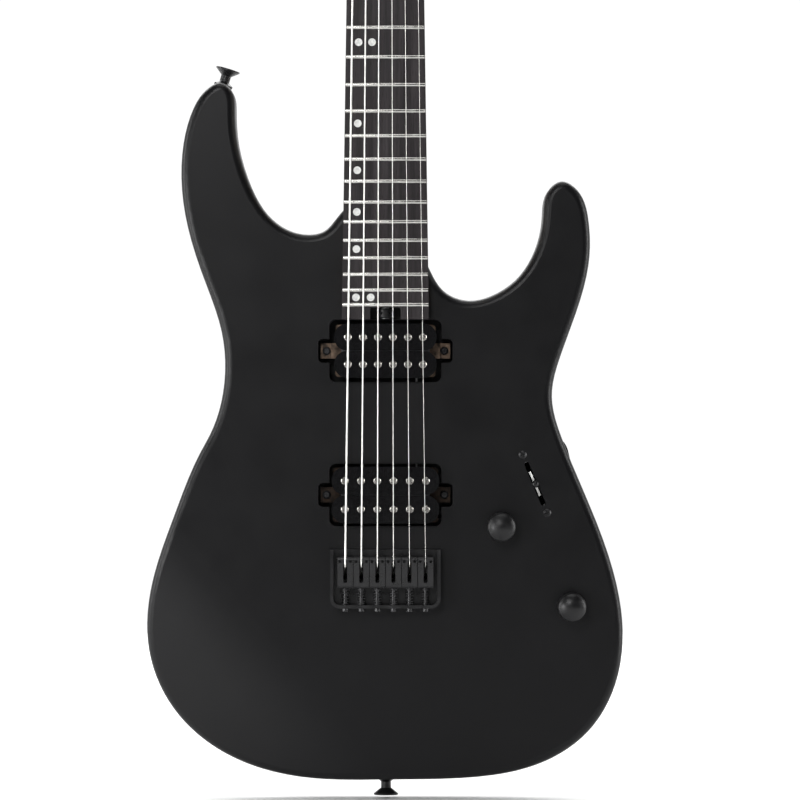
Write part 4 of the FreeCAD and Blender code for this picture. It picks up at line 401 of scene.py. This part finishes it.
def spring_points(axis_x, axis_y, low, high, radius):
    """A helix about an upright axis with its end turns closed up."""
    points = []
    open_count = SPRING_TURNS - 2 * END_TURNS
    open_reach = (high - low) - 2 * END_TURNS * CLOSED_PITCH
    for step in range(SPRING_TURNS * SPRING_STEPS + 1):
        turns = step / SPRING_STEPS
        open_turns = min(max(turns - END_TURNS, 0.0), open_count)
        level = low + (turns - open_turns) * CLOSED_PITCH + open_reach * open_turns / open_count
        angle = 2 * math.pi * turns
        points.append(Vector((axis_x + radius * math.cos(angle), axis_y + radius * math.sin(angle), level)))
    return points


def make_springs():
    """Six compression springs, each stretched between the bridge's rear wall and its saddle."""
    low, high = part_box("saddle_springs")
    level_low, level_high = low.z + SPRING_WIRE, high.z - SPRING_WIRE
    for index in range(1, STRING_COUNT + 1):
        x, y, _ = JOINTS[f"intonation_turn_{index}"]["pos_m"]
        points = spring_points(x, y, level_low, level_high, SPRING_OUTSIDE - SPRING_WIRE)
        piece = tube_piece(f"intonation_spring_{index}", "screw_dark", points, SPRING_WIRE, SPRING_SIDES)
        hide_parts("saddle_springs")
        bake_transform(piece)


make_springs()

# ---------------------------------------------------------------------------------------------------
# Studio: pale floor, soft lamps, camera square to the front
# ---------------------------------------------------------------------------------------------------
FLOOR_GAP = 2.0 * MM
FLOOR_RADIUS = 2.5
FLOOR_SIDES = 96
BODY_MIDDLE = (0.0, 0.0, -0.56)
FOREARM_BEVEL = (-0.1, 0.0, -0.7)
UPPER_BODY = (-0.05, 0.0, -0.45)
FLOOR_BEHIND = (0.0, 1.7, -0.8)

# name, place, what it is aimed at, width and height in metres, power in watts
LAMPS = (
    ("key_left", (-1.1, -1.0, -0.6), FOREARM_BEVEL, 0.4, 0.4, 8.0),
    ("rim_left", (-1.5, -0.15, -0.40), BODY_MIDDLE, 0.4, 1.2, 14.0),
    ("rim_right", (1.5, -0.15, -0.40), BODY_MIDDLE, 0.4, 1.2, 14.0),
    ("top_soft", (0.0, -0.3, 1.1), BODY_MIDDLE, 1.2, 0.8, 6.0),
    ("front_soft", (-0.3, -1.2, 0.05), UPPER_BODY, 0.4, 0.4, 5.5),
    ("floor_light", (0.0, 1.9, 1.0), FLOOR_BEHIND, 3.0, 2.2, 80.0),
)
# the room is dark in front of the first share of the way back, and white behind the second
ROOM_DARK_AT, ROOM_WHITE_AT = -0.1, 0.6
ROOM_DARKEST, ROOM_BRIGHTEST = 0.02, 1.05
CAMERA_PLACE = (0.00954, -3.450, -0.548)
CAMERA_LENS, CAMERA_SENSOR = 237.0, 36.0


def pale_floor():
    """A round, almost white floor just under the lowest piece."""
    surface = Surface("studio_floor", (0.86, 0.86, 0.86), 0.6)
    cloud = surface.noise(0.4, detail=3.0)
    surface.color(surface.ramp(cloud, [(0.3, (0.85, 0.85, 0.85)), (0.7, (0.88, 0.88, 0.88))]))
    mesh = bmesh.new()
    bmesh.ops.create_circle(mesh, cap_ends=True, segments=FLOOR_SIDES, radius=FLOOR_RADIUS)
    data = bpy.data.meshes.new("studio_floor")
    mesh.to_mesh(data)
    mesh.free()
    data.materials.append(surface.material)
    floor = bpy.data.objects.new("studio_floor", data)
    floor.location.z = cad_box[0][2] - FLOOR_GAP
    bpy.context.scene.collection.objects.link(floor)


def area_light(name, place, target, width, height, power):
    """A soft rectangular lamp that shines on its target."""
    light = bpy.data.lights.new(name, "AREA")
    light.shape = "RECTANGLE"
    light.size, light.size_y = width, height
    light.energy = power
    lamp = bpy.data.objects.new(name, light)
    lamp.location = place
    lamp.rotation_euler = (Vector(target) - Vector(place)).to_track_quat("-Z", "Y").to_euler()
    bpy.context.scene.collection.objects.link(lamp)


def studio_world():
    """A room that looks white all round; its light comes from behind, and the lamps light the front."""
    world = bpy.data.worlds.new("studio")
    world.use_nodes = True
    nodes, links = world.node_tree.nodes, world.node_tree.links
    split = nodes.new("ShaderNodeSeparateXYZ")
    links.new(nodes.new("ShaderNodeTexCoord").outputs["Generated"], split.inputs["Vector"])
    level = nodes.new("ShaderNodeMapRange")
    level.inputs["From Min"].default_value = ROOM_DARK_AT
    level.inputs["From Max"].default_value = ROOM_WHITE_AT
    level.inputs["To Min"].default_value = ROOM_DARKEST
    level.inputs["To Max"].default_value = ROOM_BRIGHTEST
    links.new(split.outputs["Y"], level.inputs["Value"])
    seen = nodes.new("ShaderNodeMath")
    seen.operation = "MAXIMUM"
    links.new(level.outputs["Result"], seen.inputs[0])
    links.new(nodes.new("ShaderNodeLightPath").outputs["Is Camera Ray"], seen.inputs[1])
    links.new(seen.outputs["Value"], nodes["Background"].inputs["Strength"])
    nodes["Background"].inputs["Color"].default_value = (1.0, 1.0, 1.0, 1.0)
    bpy.context.scene.world = world


def front_camera():
    """A camera square to the front, far enough away for a flat product view."""
    data = bpy.data.cameras.new("camera")
    data.lens = CAMERA_LENS
    data.sensor_width = CAMERA_SENSOR
    camera = bpy.data.objects.new("camera", data)
    camera.location = CAMERA_PLACE
    camera.rotation_euler = (math.radians(90.0), 0.0, 0.0)
    bpy.context.scene.collection.objects.link(camera)
    bpy.context.scene.camera = camera


pale_floor()
studio_world()
for lamp in LAMPS:
    area_light(*lamp)
front_camera()
bpy.context.scene.view_settings.view_transform = "Standard"
